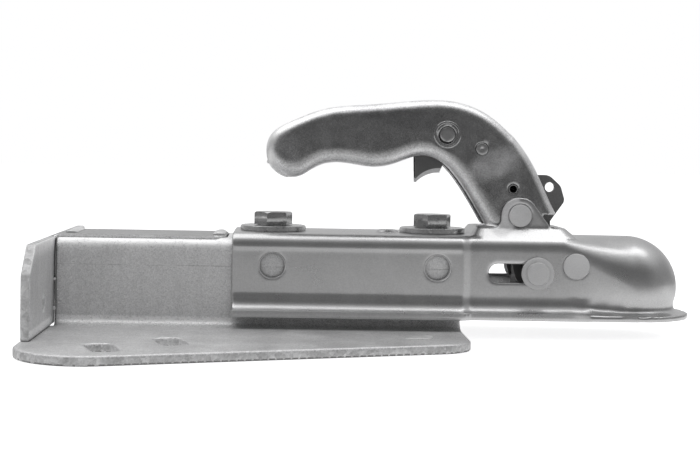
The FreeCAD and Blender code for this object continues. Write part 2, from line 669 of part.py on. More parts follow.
def build_lock_plate():
    """The fixed plate with the padlock hole; its foot reaches down to the front lip of the rim."""
    hub = size("lock_plate_hub")
    half = size("lock_plate_thickness") / 2
    foot = size("handle_lobe") + size("rim_room_ahead")
    waist = foot - size("lock_plate_step")
    outline = rounded([PIVOT + at(*place) for place in (
        (11.7, 12.2), (11.7, 22.5), (19.0, 22.6), (25.8, 16.5), (28.3, 8.0), (waist, -3.6), (waist, -7.2),
        (foot, -7.2), (foot, -8.8), (5.9, -10.2), (3.9, 2.2))], [0, 1.5, 6.5, 6.5, 4.0, 1.0, 0, 0, 1.0, 1.0, 0])
    plate = slab(outline, -half, half).fuse(cross_rod(hub, PIVOT, -half, half)).removeSplitter()
    swing = [turned(cross_rod(size("roll_pin_radius") + size("moving_gap"), ROLL_PIN, -half, half),
                    PIVOT, share * size("handle_lift")) for share in (0.65, 0.84, 1.03)]
    return plate.cut(swing + [cross_rod(size("padlock_radius"), PADLOCK, -half, half),
                              cross_rod(size("pivot_pin_radius"), PIVOT, -half, half)])


feature("lock_plate", build_lock_plate())


# Ball jaw

def build_jaw():
    """The jaw behind the ball: a hollow seat in front, a narrow hub round its pin behind."""
    hub = size("jaw_hub_radius")
    depth = -size("jaw_depth")
    hub_half = ARM_INSIDE - size("moving_gap")
    half = size("jaw_half_width")
    low_top = FIXED_PIN.z - size("fixed_pin_radius") - size("moving_gap")
    heel = SLIDE_PIN.x + size("jaw_heel")
    front = -size("jaw_horn")
    wide = rounded([at(heel, depth), at(front, depth), at(front, low_top), at(heel, low_top)], [3, 0, 0, 3])
    narrow = rounded([at(SLIDE_PIN.x - hub, depth + 8), at(heel + 4, depth), at(heel + 4, low_top),
                      at(SLIDE_PIN.x - hub, low_top)], [4, 0, 0, 2])
    seat = Part.makeSphere(size("ball_radius") + size("seat_clearance"), ORIGIN)
    jaw = slab(wide, -half, half).fuse([slab(narrow, -hub_half, hub_half),
                                        cross_rod(hub, SLIDE_PIN, -hub_half, hub_half)])
    jaw = jaw.removeSplitter()
    return jaw.cut([seat, cross_rod(size("slide_pin_radius"), SLIDE_PIN, -hub_half, hub_half)])


feature("ball_jaw", build_jaw())


# Trigger and latch

def build_trigger():
    """The trigger: two cheeks on the pin, joined below by a curved finger pad, with a nose in front."""
    half = size("trigger_half_width")
    sheet_wall = size("trigger_sheet")
    pin = TRIGGER_PIN
    cheek = rounded([pin + at(-6.5, 6.5), pin + at(-8.0, -5.0), pin + at(-16.8, -12.0),
                     pin + at(-16.4, -27.2), pin + at(-3.0, -20.6), pin + at(0.5, -13.0),
                     pin + at(15.5, -15.6), pin + at(16.5, -11.0), pin + at(6.5, 6.5)],
                    [4.0, 2.0, 2.0, 1.0, 1.0, 3.0, 1.5, 1.5, 4.0])
    block = slab(cheek, -half, half)
    room = slab(cheek, -half + sheet_wall, half - sheet_wall)
    pad_start, pad_middle, pad_end = pin + at(-16.4, -27.0), pin + at(-11.0, -23.0), pin + at(-3.0, -21.4)
    drop = at(0, sheet_wall)
    pad = Part.Wire([arc(pad_start, pad_middle, pad_end), line(pad_end, pad_end + drop),
                     arc(pad_end + drop, pad_middle + drop, pad_start + drop),
                     line(pad_start + drop, pad_start)])
    below = Part.Wire([arc(pad_start, pad_middle, pad_end), line(pad_end, pad_end - drop * 5),
                       line(pad_end - drop * 5, pad_start - drop * 5), line(pad_start - drop * 5, pad_start)])
    shape = block.cut(room).cut(slab(below, -half, half)).fuse(slab(pad, -half, half)).removeSplitter()
    return shape.cut(cross_rod(size("trigger_pin_radius") + size("running_clearance"), pin, -half, half))


feature("trigger", build_trigger())


def build_pawl():
    """The latch pawl beside the lock plate: a tail under the trigger's nose and a hook at the pivot."""
    low = size("lock_plate_thickness") / 2 + size("moving_gap") * 2
    high = low + size("pawl_thickness")
    outline = rounded([ROLL_PIN + at(3.5, 5.0), ROLL_PIN + at(-18.0, 15.0), ROLL_PIN + at(-20.0, 10.5),
                       ROLL_PIN + at(-6.0, 0.0), ROLL_PIN + at(-7.5, -9.0), ROLL_PIN + at(-3.5, -8.5),
                       ROLL_PIN + at(5.0, -2.0)],
                      [3.0, 2.0, 2.0, 3.0, 1.0, 1.0, 3.0])
    plate = slab(outline, low, high)
    return plate.cut([cross_rod(size("roll_pin_radius") + size("running_clearance"), ROLL_PIN, low, high),
                      cross_rod(size("pivot_pin_radius") + 2 * size("moving_gap"), PIVOT, low, high)])


feature("latch_pawl", build_pawl())


def through_pin(label, centre, radius, head_radius, head_height, bore=0.0):
    """A pin through both sides of the handle, with a low head proud of each side where one is given."""
    side = size("handle_half_width")
    pin = cross_rod(radius, centre, -side, side)
    for hand in (1, -1):
        low, high = sorted((hand * side, hand * (side + head_height)))
        pin = pin.fuse(cross_rod(head_radius, centre, low, high)) if head_height > 0 else pin
    if bore > 0:
        pin = pin.cut(cross_rod(bore, centre, -side, side))
    return feature(label, pin.removeSplitter())


through_pin("trigger_pin", TRIGGER_PIN, size("trigger_pin_radius"), size("trigger_pin_radius"), 0.5)
through_pin("spacer_rivet", RIVET, size("rivet_radius"), size("rivet_head_radius"),
            size("rivet_head_height"))
through_pin("roll_pin", ROLL_PIN, size("roll_pin_radius"), 0, 0, size("roll_pin_bore"))


def torsion_spring(label, centre, pin_radius, start, leg_length, first_angle):
    """A torsion spring about a cross pin: a wound coil whose two ends run out straight."""
    wire = size(label + "_wire")
    turns = size(label + "_turns")
    pitch = 2 * wire + size("spring_lead")
    coil_radius = pin_radius + wire + size("moving_gap")
    coil = Part.makeHelix(pitch, pitch * turns, coil_radius).Edges[0]
    path = [coil]
    for parameter, sense in ((coil.FirstParameter, -1), (coil.LastParameter, 1)):
        foot = coil.valueAt(parameter)
        path.append(line(foot, foot + coil.tangentAt(parameter).normalize() * leg_length * sense))
    route = closed(path)
    begin = route.Edges[0].valueAt(route.Edges[0].FirstParameter)
    direction = route.Edges[0].tangentAt(route.Edges[0].FirstParameter)
    section = Part.Wire([Part.Circle(begin, direction, wire).toShape()])
    spring = route.makePipeShell([section], True, False)
    spring.rotate(ORIGIN, ALONG_Z, first_angle)
    spring.rotate(ORIGIN, ALONG_X, -90)
    spring.translate(Vector(centre.x, start + wire, centre.z))
    return feature(label, spring)


torsion_spring("handle_spring", PIVOT, size("pivot_pin_radius"), -ARM_INSIDE + size("moving_gap"), 8.0, 150.0)
torsion_spring("trigger_spring", TRIGGER_PIN, size("trigger_pin_radius"),
               size("trigger_half_width") + size("moving_gap"), 7.0, 90.0)


# Adapter

def hat_section(x):
    """The adapter's folded section: tunnel, hollow bends at its foot, and flat base to both sides."""
    wide = size("base_rear_half") + 5
    roof_bend, foot = size("tunnel_bend"), size("foot_bend")

    def skin(inward, hand):
        def place(across, height):
            return Vector(x, hand * across, height)
        cos45 = math.cos(math.radians(45))
        radius = roof_bend - inward
        hollow = foot + inward
        bend_centre = (TUNNEL_HALF - roof_bend, ROOF - roof_bend)
        foot_centre = (TUNNEL_HALF + foot, BASE_TOP + foot)
        crown = place(bend_centre[0], ROOF - inward)
        corner = place(bend_centre[0] + radius * cos45, bend_centre[1] + radius * cos45)
        side = place(TUNNEL_HALF - inward, bend_centre[1])
        wall_end = place(TUNNEL_HALF - inward, foot_centre[1])
        foot_middle = place(foot_centre[0] - hollow * cos45, foot_centre[1] - hollow * cos45)
        foot_end = place(foot_centre[0], BASE_TOP - inward)
        tip = place(wide, BASE_TOP - inward)
        return [line(place(0, ROOF - inward), crown), arc(crown, corner, side), line(side, wall_end),
                arc(wall_end, foot_middle, foot_end), line(foot_end, tip)], tip
    right_out, right_tip = skin(0, 1)
    right_in, right_low = skin(PLATE, 1)
    left_out, left_tip = skin(0, -1)
    left_in, left_low = skin(PLATE, -1)
    return Part.Wire(right_out + [line(right_tip, right_low)] + right_in[::-1] + left_in
                     + [line(left_low, left_tip)] + left_out[::-1])


def base_plan():
    """The flared base seen from above, with rounded corners."""
    rear, front = -size("base_rear"), -size("base_front")
    points = [Vector(rear, -size("base_rear_half"), 0), Vector(front, -size("base_front_half"), 0),
              Vector(front, size("base_front_half"), 0), Vector(rear, size("base_rear_half"), 0)]
    rear_corner, front_corner = size("base_rear_corner"), size("base_front_corner")
    return rounded(points, [rear_corner, front_corner, front_corner, rear_corner])


def skewed_slot(centre_x, centre_y):
    """A slot across the base, square to the flared side edge on its own side."""
    flare = math.atan2(size("base_rear_half") - size("base_front_half"),
                       size("base_rear") - size("base_front"))
    hand = 1 if centre_y > 0 else -1
    direction = Vector(math.sin(flare), hand * math.cos(flare), 0)
    radius = size("base_slot_width") / 2
    half = size("base_slot_length") / 2
    corner_radius = radius * 0.7
    side = Vector(-direction.y, direction.x, 0) * radius
    centre = Vector(centre_x, centre_y, BASE_FOOT - 1)
    points = [centre - direction * half - side, centre + direction * half - side,
              centre + direction * half + side, centre - direction * half + side]
    return Part.Face(rounded(points, [corner_radius] * 4)).extrude(Vector(0, 0, PLATE + 2))


def tongue_plan(gap):
    """The tongue seen from above, wider by the gap where the opening is cut."""
    half = size("tongue_half_width") + gap
    front = TONGUE_FRONT + gap
    rear = WING_REAR - 1
    points = [Vector(rear, -half, 0), Vector(front, -half, 0), Vector(front, half, 0), Vector(rear, half, 0)]
    corner = size("tongue_end") + gap
    return rounded(points, [0, corner, corner, 0])


def build_channel():
    """The adapter: a flared base with a tunnel folded up along its middle."""
    rear = -size("base_rear")
    block = Part.Face(hat_section(rear - 1)).extrude(Vector(size("base_rear") + TUNNEL_FRONT + 2, 0, 0))
    plan = Part.Face(base_plan())
    plan.translate(Vector(0, 0, BASE_FOOT - 1))
    channel = block.common(plan.extrude(Vector(0, 0, ROOF - BASE_FOOT + 2)))
    cuts = []
    tall = ROOF - BASE_FOOT + 2
    foot_end = TUNNEL_HALF + size("foot_bend") + 0.5
    cuts.append(Part.makeBox(40, 2 * foot_end, tall, Vector(-size("tunnel_rear") - 40, -foot_end, BASE_FOOT - 1)))
    cuts.append(Part.makeBox(10, 2 * foot_end, tall, Vector(TUNNEL_FRONT, -foot_end, BASE_TOP + 0.01)))
    opening = Part.Face(tongue_plan(size("tongue_gap")))
    opening.translate(Vector(0, 0, ROOF - PLATE - 1))
    cuts.append(opening.extrude(Vector(0, 0, PLATE + 2)))
    for behind, side in (("outer_slot_behind", "outer_slot_side"), ("inner_slot_behind", "inner_slot_side")):
        for hand in (1, -1):
            cuts.append(skewed_slot(-size(behind), hand * size(side)))
    for x in BOLTS.values():
        cuts.append(Part.makeCylinder(size("bolt_hole_radius"), PLATE + 2, at(x, ROOF - PLATE - 1)))
    return channel.cut(cuts).removeSplitter()


feature("adapter_channel", build_channel())


def build_end_plate():
    """The upright wing plate, with its tongue folded forward over the tunnel."""
    corner = size("wing_corner")
    half, top_half = size("wing_half_width"), size("wing_top_half_width")
    shoulder, top = size("wing_shoulder"), size("wing_top")
    points = [Vector(WING_REAR, -half, BASE_TOP), Vector(WING_REAR, half, BASE_TOP),
              Vector(WING_REAR, half, shoulder), Vector(WING_REAR, top_half, top),
              Vector(WING_REAR, -top_half, top), Vector(WING_REAR, -half, shoulder)]
    plate = Part.Face(rounded(points, [0, 0, corner, corner, corner, corner])).extrude(Vector(PLATE, 0, 0))
    holes = []
    for hand in (1, -1):
        start = Vector(WING_REAR - 1, hand * size("wing_hole_side"), -size("wing_hole_drop"))
        holes.append(rod(size("wing_hole_radius"), start, start + Vector(PLATE + 2, 0, 0)))
    plate = plate.cut(holes)
    bend = size("tongue_bend")
    level = ROOF + size("tongue_proud")
    centre = at(WING_REAR + bend, level - bend)
    cos45 = math.cos(math.radians(45))
    inner = bend - PLATE
    reach = TONGUE_FRONT + 5
    start = level - bend - 6
    strip = Part.Wire([
        line(at(WING_REAR, start), at(WING_REAR, centre.z)),
        arc(at(WING_REAR, centre.z), centre + at(-bend * cos45, bend * cos45), centre + at(0, bend)),
        line(centre + at(0, bend), at(reach, level)), line(at(reach, level), at(reach, level - PLATE)),
        line(at(reach, level - PLATE), centre + at(0, inner)),
        arc(centre + at(0, inner), centre + at(-inner * cos45, inner * cos45), centre + at(-inner, 0)),
        line(centre + at(-inner, 0), at(WING_FRONT, start)), line(at(WING_FRONT, start), at(WING_REAR, start))])
    half_tongue = size("tongue_half_width")
    tongue = slab(strip, -half_tongue - 1, half_tongue + 1)
    plan = Part.Face(tongue_plan(0))
    plan.translate(Vector(0, 0, start - 1))
    tongue = tongue.common(plan.extrude(Vector(0, 0, level - start + 2)))
    return plate.fuse(tongue).removeSplitter()


feature("end_plate", build_end_plate())


def build_plug_welds():
    """Two low weld beads across the tongue, at its bend and at its free end."""
    level = ROOF + size("tongue_proud")
    length, half = size("weld_length"), size("weld_half_width")
    height = size("weld_height")
    beads = []
    for x in (WING_REAR + size("tongue_bend") + length / 2, TONGUE_FRONT - length / 2):
        radius = (height ** 2 + (length / 2) ** 2) / (2 * height)
        bead = rod(radius, Vector(x, -half, level + height - radius), Vector(x, half, level + height - radius))
        above = rounded_plan(x - length / 2, x + length / 2, half, length / 2 - 0.3, level)
        beads.append(bead.common(Part.Face(above).extrude(Vector(0, 0, height + 1))))
    return Part.makeCompound(beads)


feature("plug_welds", build_plug_welds())


# Bolts, nuts and washers

def hexagon(height, z):
    """A hexagon prism across the sheet's flats, points fore and aft, with its corners turned off on top."""
    flats = size("bolt_flats")
    radius = flats / math.sqrt(3)
    points = [Vector(radius * math.cos(math.radians(60 * step + 12)),
                     radius * math.sin(math.radians(60 * step + 12)), z) for step in range(6)]
    prism = Part.Face(polygon(points)).extrude(Vector(0, 0, height))
    chamfer = size("hex_chamfer")
    slope = chamfer * math.tan(math.radians(30))
    low = Part.makeCylinder(radius + 1, height - slope, Vector(0, 0, z))
    cone = Part.makeCone(radius + 0.01, radius - chamfer, slope, Vector(0, 0, z + height - slope))
    return prism.common(low.fuse(cone))


def build_bolt(x):
    """A hexagon bolt, head on the large washer, shank down through body and tunnel roof."""
    seat = NOSE + size("large_washer_thickness")
    head = hexagon(size("bolt_head_height"), seat)
    shank = Part.makeCylinder(size("bolt_radius"), size("bolt_length"), at(0, seat - size("bolt_length")))
    bolt = head.fuse(shank)
    bolt.translate(Vector(x, 0, 0))
    return bolt


def build_nut(x):
    """A hexagon nut under the small washer."""
    top = ROOF - PLATE - size("small_washer_thickness")
    height = size("nut_height")
    nut = hexagon(height, top - height)
    nut = nut.cut(Part.makeCylinder(size("bolt_radius"), height + 2, at(0, top - height - 1)))
    nut.translate(Vector(x, 0, 0))
    return nut


def washer_body(label, radius, hole, thickness, x, z):
    """A flat washer: a ring sketched on the plan plane and padded."""
    body = doc.addObject("PartDesign::Body", label + "_body")
    body.Label = label
    sketch = body.newObject("Sketcher::SketchObject", label + "_ring")
    plane = next(item for item in body.Origin.OriginFeatures if item.Role == "XY_Plane")
    sketch.AttachmentSupport = (plane, "")
    sketch.MapMode = "FlatFace"
    for name, expression in (("outer", radius), ("inner", hole)):
        circle = sketch.addGeometry(Part.Circle(ORIGIN, ALONG_Z, 10 if name == "outer" else 5), False)
        sketch.addConstraint(Sketcher.Constraint("Coincident", circle, 3, -1, 1))
        index = sketch.addConstraint(Sketcher.Constraint("Radius", circle, 10 if name == "outer" else 5))
        sketch.renameConstraint(index, name)
        sketch.setExpression(f"Constraints.{name}", expression)
    pad = body.newObject("PartDesign::Pad", label + "_pad")
    pad.Profile = sketch
    pad.setExpression("Length", thickness)
    sketch.Visibility = False
    body.Placement = Placement(Vector(x, 0, z), Rotation())
    doc.recompute()
    return body


for name, x in BOLTS.items():
    feature(name + "_bolt", build_bolt(x))
    feature(name + "_nut", build_nut(x))
    washer_body(name + "_washer", "sizes.large_washer_radius", "sizes.bolt_hole_radius",
                "sizes.large_washer_thickness", x, NOSE)
    washer_body(name + "_small_washer", "sizes.small_washer_radius", "sizes.bolt_hole_radius",
                "sizes.small_washer_thickness", x, ROOF - PLATE - size("small_washer_thickness"))

# Check and export

NODES = ["coupling_body", "pivot_pin", "fixed_pin", "sliding_pin", "near_slide_washer", "far_slide_washer",
         "handle", "near_drive_arm", "far_drive_arm", "lock_plate", "ball_jaw", "trigger", "latch_pawl",
         "trigger_pin", "spacer_rivet", "roll_pin", "handle_spring", "trigger_spring", "adapter_channel",
         "end_plate", "plug_welds", "rear_bolt", "front_bolt", "rear_nut", "front_nut", "rear_washer",
         "front_washer", "rear_small_washer", "front_small_washer"]

doc.recompute()
faults = [item.Label for item in doc.Objects if "Invalid" in item.State or "Error" in item.State]
if faults:
    raise RuntimeError(f"failed objects: {faults}")
os.makedirs("parts", exist_ok=True)
for node in NODES:
    item = doc.getObjectsByLabel(node)[0]
    shape = item.Shape
    if shape.isNull() or not shape.isValid() or not shape.Solids:
        raise RuntimeError(f"bad shape: {node}")
    shape.exportStep(f"parts/{node}.step")
    print(f"{node}: {len(shape.Solids)} solid(s), {shape.Volume / 1000:.2f} cm3")
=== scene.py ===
"""Looks of the trailer coupling head: pressed coupling, drawbar adapter, hardware, studio and camera.

Lengths in the classes are millimetres, as on a drawing; MM turns them into Blender's metres. The origin is
the centre of the towing ball, +X points to the nose and +Z up. MERGE and SEAM_MERGE are in metres: corners
nearer than that become one.
"""
import logging
import math
from dataclasses import dataclass
from enum import Enum
from typing import Callable, Sequence

import bpy
from mathutils import Matrix, Vector
from mathutils.kdtree import KDTree


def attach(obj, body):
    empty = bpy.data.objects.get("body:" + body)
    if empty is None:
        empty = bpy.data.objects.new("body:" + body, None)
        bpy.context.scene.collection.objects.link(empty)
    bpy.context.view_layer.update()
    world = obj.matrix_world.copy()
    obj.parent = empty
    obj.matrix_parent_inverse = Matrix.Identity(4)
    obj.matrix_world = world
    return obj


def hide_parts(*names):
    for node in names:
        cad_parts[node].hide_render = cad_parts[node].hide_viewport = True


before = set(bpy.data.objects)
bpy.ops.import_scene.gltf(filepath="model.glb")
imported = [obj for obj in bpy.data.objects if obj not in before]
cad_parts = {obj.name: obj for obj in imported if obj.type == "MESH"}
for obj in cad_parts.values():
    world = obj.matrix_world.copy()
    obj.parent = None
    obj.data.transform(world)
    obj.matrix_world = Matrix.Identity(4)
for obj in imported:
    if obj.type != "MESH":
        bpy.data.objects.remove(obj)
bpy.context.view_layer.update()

MM = 0.001
MERGE = 1e-6
SEAM_MERGE = 2e-6
SHADER_SAMPLES = 6
LOG = logging.getLogger("coupling")

Pair = tuple[float, float]
Point = tuple[float, float, float]
Colour = tuple[float, float, float, float]
Profile = Sequence[Pair]
Piece = bpy.types.Object
Socket = bpy.types.NodeSocket

ORIGIN: Point = (0.0, 0.0, 0.0)
BOLT_PLACES: Pair = (-201.0, -110.7)


class Hand(Enum):
    """The two sides of the object, as signs across it."""

    NEAR = -1
    FAR = 1


class Body(Enum):
    """The moving bodies that pieces ride on."""

    HOUSING = "housing"
    LEVER = "lever"
    JAW = "jaw"
    TRIGGER = "finger_lever"
    LATCH = "latch"


class Shading(Enum):
    """From which angle on an edge stays sharp when a piece is shaded smooth, in degrees."""

    MACHINED = 28.0
    ROUND = 60.0


def grey(value: float) -> Colour:
    """A neutral colour of the given linear brightness."""
    return (value, value, value * 1.004, 1.0)


def mid(place: Pair) -> Point:
    """A place in side view, as a point on the middle plane."""
    return (place[0], 0.0, place[1])


def both_ends(half: Profile) -> list[Pair]:
    """A profile made whole by mirroring its near half."""
    return list(half) + [(radius, -along) for radius, along in reversed(half)]


# Node graphs


class Graph:
    """A small helper that writes one material's or world's node graph."""

    def __init__(self, tree: bpy.types.NodeTree) -> None:
        """Empties the tree and keeps it.

        Args:
            tree: The node tree to write.
        """
        self.tree = tree
        tree.nodes.clear()

    def node(self, kind: str, **settings: object) -> bpy.types.Node:
        """Adds a node.

        Args:
            kind: Blender's node type.
            settings: Attributes to set on it.

        Returns:
            The new node.
        """
        made = self.tree.nodes.new(kind)
        for name, value in settings.items():
            setattr(made, name, value)
        return made

    def link(self, source: Socket, target: Socket) -> None:
        """Joins two sockets."""
        self.tree.links.new(source, target)

    def feed(self, socket: Socket, value: object) -> None:
        """Gives a socket a constant, or joins it to another socket.

        Args:
            socket: The input to fill.
            value: A number, a colour or an output socket.
        """
        if isinstance(value, Socket):
            self.link(value, socket)
        else:
            socket.default_value = value

    def math(self, operation: str, *values: object) -> Socket:
        """Adds a Math node.

        Args:
            operation: Name of the operation.
            values: Its inputs, numbers or sockets.

        Returns:
            Its output.
        """
        made = self.node("ShaderNodeMath", operation=operation)
        for socket, value in zip(made.inputs, values):
            self.feed(socket, value)
        return made.outputs[0]

    def span(self, value: Socket, low: float, high: float, start: float = 0.0, end: float = 1.0) -> Socket:
        """Turns a stretch of a value smoothly into another stretch.

        Args:
            value: The socket to read.
            low: Where the stretch starts.
            high: Where it ends.
            start: What low becomes.
            end: What high becomes.

        Returns:
            The output socket.
        """
        made = self.node("ShaderNodeMapRange", interpolation_type="SMOOTHSTEP")
        self.feed(made.inputs["Value"], value)
        for name, number in (("From Min", low), ("From Max", high), ("To Min", start), ("To Max", end)):
            made.inputs[name].default_value = number
        return made.outputs["Result"]

    def blend(self, share: object, first: object, second: object, kind: str = "MIX") -> Socket:
        """Mixes two colours.

        Args:
            share: How much of the second, a number or socket.
            first: Colour or socket.
            second: Colour or socket.
            kind: The blend type.

        Returns:
            The mixed colour's socket.
        """
        made = self.node("ShaderNodeMix", data_type="RGBA", blend_type=kind)
        self.feed(made.inputs["Factor"], share)
        self.feed(made.inputs[6], first)
        self.feed(made.inputs[7], second)
        return made.outputs[2]

    def tint(self, tone: object, factor: object) -> Socket:
        """One colour multiplied by another."""
        return self.blend(1.0, tone, factor, "MULTIPLY")

    def sway(self, pattern: Socket, strength: float, base: object = 1.0) -> Socket:
        """A pattern swung about its middle, scaled and added to a base level."""
        return self.math("MULTIPLY_ADD", self.math("SUBTRACT", pattern, 0.5), strength, base)

    def axes(self, place: Socket) -> Sequence[Socket]:
        """The three coordinates of a place.

        Args:
            place: Coordinates or a direction.

        Returns:
            The sockets of X, Y and Z.
        """
        made = self.node("ShaderNodeSeparateXYZ")
        self.link(place, made.inputs[0])
        return tuple(made.outputs)

    def mirrored(self, rays: bpy.types.Node) -> Socket:
        """One for rays that show the surroundings in metal or glass."""
        return self.math("MAXIMUM", rays.outputs["Is Glossy Ray"], rays.outputs["Is Transmission Ray"])

    def patch(self, place: Socket, spot: "Patch") -> Socket:
        """A soft oval on the side view of the object.

        Args:
            place: Object coordinates.
            spot: Where it lies and how far it reaches.

        Returns:
            One inside it, nothing outside.
        """
        x, _, z = self.axes(place)
        along = self.math("SUBTRACT", x, spot.centre[0] * MM)
        up = self.math("SUBTRACT", z, spot.centre[1] * MM)
        cosine, sine = math.cos(math.radians(spot.tilt)), math.sin(math.radians(spot.tilt))
        first = self.math("MULTIPLY_ADD", along, cosine, self.math("MULTIPLY", up, sine))
        second = self.math("MULTIPLY_ADD", up, cosine, self.math("MULTIPLY", along, -sine))
        first = self.math("POWER", self.math("MULTIPLY", first, 1 / (spot.reach[0] * MM)), 2.0)
        second = self.math("POWER", self.math("MULTIPLY", second, 1 / (spot.reach[1] * MM)), 2.0)
        return self.span(self.math("ADD", first, second), 1.0 - spot.soft, 1.0 + spot.soft, 1.0, 0.0)

    def noise(self, coordinates: Socket, scale: float, detail: float = 3.0, roughness: float = 0.6,
              stretch: Point = (1.0, 1.0, 1.0)) -> Socket:
        """Adds a noise pattern on the given coordinates.

        Args:
            coordinates: Where the pattern lies.
            scale: Cells per metre.
            detail: Octaves.
            roughness: Weight of the finer octaves.
            stretch: Scale along each axis.

        Returns:
            The factor socket.
        """
        mapping = self.node("ShaderNodeMapping")
        mapping.inputs["Scale"].default_value = stretch
        self.link(coordinates, mapping.inputs["Vector"])
        made = self.node("ShaderNodeTexNoise")
        self.link(mapping.outputs[0], made.inputs["Vector"])
        made.inputs["Scale"].default_value = scale
        made.inputs["Detail"].default_value = detail
        made.inputs["Roughness"].default_value = roughness
        return made.outputs["Fac"]


# Finishes


@dataclass(frozen=True)
class Patch:
    """An oval of different lightness in side view: its centre and reach in millimetres, its tilt in degrees.

    matt is how far the metal there is made less metallic.
    """

    centre: Pair
    reach: Pair
    tilt: float = 0.0
    soft: float = 0.4
    tone: float = 1.5
    matt: float = 0.0


@dataclass(frozen=True)
class Finish:
    """A metal finish: its tone, its gloss and the patterns that break them up.

    The tones are linear greys. Each pattern has a scale in cells per metre and a strength. edge is the radius
    of softened edges, and bump_height the depth of the skin, both in metres. recess is how far painted shade
    darkens the colour beside a gap, in millimetres; painted_shade_open is the share of open sky between which
    it does, and painted_shade_floor the light that is left at the bottom.
    """

    name: str
    tone: float
    metallic: float
    roughness: float
    cloud_scale: float = 45.0
    cloud: float = 0.12
    grain_scale: float = 1400.0
    grain: float = 0.10
    speckle_scale: float = 420.0
    speckle: float = 0.0
    gloss_break: float = 0.08
    bump_scale: float = 900.0
    bump: float = 0.05
    bump_height: float = 0.00005
    edge: float = 0.0003
    painted_shade_reach: float = 0.0
    painted_shade_open: Pair = (0.10, 0.62)
    painted_shade_floor: float = 0.10
    darkest: float = 0.05
    smoothest: float = 0.08

    def marks(self, graph: Graph, place: Socket, tone: Socket) -> Socket:
        """Marks of one piece laid over the finish; the plain finish has none."""
        return tone

    def build(self) -> bpy.types.Material:
        """Makes the material once and hands the same one out after that.

        Returns:
            The material.
        """
        label = self.name + "_finish"
        made = bpy.data.materials.get(label)
        if made is not None:
            return made
        made = bpy.data.materials.new(label)
        made.use_nodes = True
        graph = Graph(made.node_tree)
        place = graph.node("ShaderNodeTexCoord").outputs["Object"]
        output = graph.node("ShaderNodeOutputMaterial")
        shader = graph.node("ShaderNodeBsdfPrincipled")
        graph.link(shader.outputs[0], output.inputs["Surface"])
        cloud = graph.noise(place, self.cloud_scale, detail=4.0)
        grain = graph.noise(place, self.grain_scale, detail=2.0, roughness=0.7)
        level = graph.sway(grain, self.grain * 4, graph.sway(cloud, self.cloud * 4))
        if self.speckle > 0:
            flake = graph.node("ShaderNodeTexVoronoi", feature="F1")
            graph.link(place, flake.inputs["Vector"])
            flake.inputs["Scale"].default_value = self.speckle_scale
            shade = graph.node("ShaderNodeSeparateColor")
            graph.link(flake.outputs["Color"], shade.inputs[0])
            level = graph.sway(shade.outputs[0], self.speckle * 2, level)
        level = graph.math("MAXIMUM", level, self.darkest)
        # Painted shade: ambient occlusion darkens the colour in gaps and under overhangs, where shade falls.
        if self.painted_shade_reach > 0:
            hollow = graph.node("ShaderNodeAmbientOcclusion", samples=SHADER_SAMPLES)
            hollow.inputs["Distance"].default_value = self.painted_shade_reach * MM
            level = graph.math("MULTIPLY", level, graph.span(hollow.outputs["AO"], *self.painted_shade_open,
                                                             start=self.painted_shade_floor))
        tone = graph.tint(grey(self.tone), self.as_colour(graph, level))
        tone = self.marks(graph, place, tone)
        graph.link(tone, shader.inputs["Base Color"])
        shader.inputs["Metallic"].default_value = self.metallic
        self.dull(graph, place, shader.inputs["Metallic"])
        rough = self.gloss(graph, place, graph.sway(cloud, self.gloss_break * 4, self.roughness))
        graph.link(graph.math("MAXIMUM", rough, self.smoothest), shader.inputs["Roughness"])
        bump = graph.node("ShaderNodeBump")
        bump.inputs["Strength"].default_value = min(1.0, self.bump)
        bump.inputs["Distance"].default_value = self.bump_height
        skin = graph.noise(place, self.bump_scale)
        graph.link(graph.math("ADD", skin, self.relief(graph, place)), bump.inputs["Height"])
        if self.edge > 0:
            soft = graph.node("ShaderNodeBevel", samples=SHADER_SAMPLES)
            soft.inputs["Radius"].default_value = self.edge
            graph.link(soft.outputs[0], bump.inputs["Normal"])
        graph.link(bump.outputs[0], shader.inputs["Normal"])
        return made

    def gloss(self, graph: Graph, place: Socket, rough: Socket) -> Socket:
        """Roughness that changes over one piece; the plain finish keeps its own."""
        return rough

    def dull(self, graph: Graph, place: Socket, metal: Socket) -> None:
        """Places where the metal is made less metallic; the plain finish has none."""

    def relief(self, graph: Graph, place: Socket) -> object:
        """Extra height added to the bump; the plain finish has none."""
        return 0.0

    @staticmethod
    def as_colour(graph: Graph, level: Socket) -> Socket:
        """A grey colour made from a number.

        Args:
            graph: The graph to add to.
            level: The number's socket.

        Returns:
            The colour's socket.
        """
        made = graph.node("ShaderNodeCombineColor")
        for socket in made.inputs[:3]:
            graph.link(level, socket)
        return made.outputs[0]


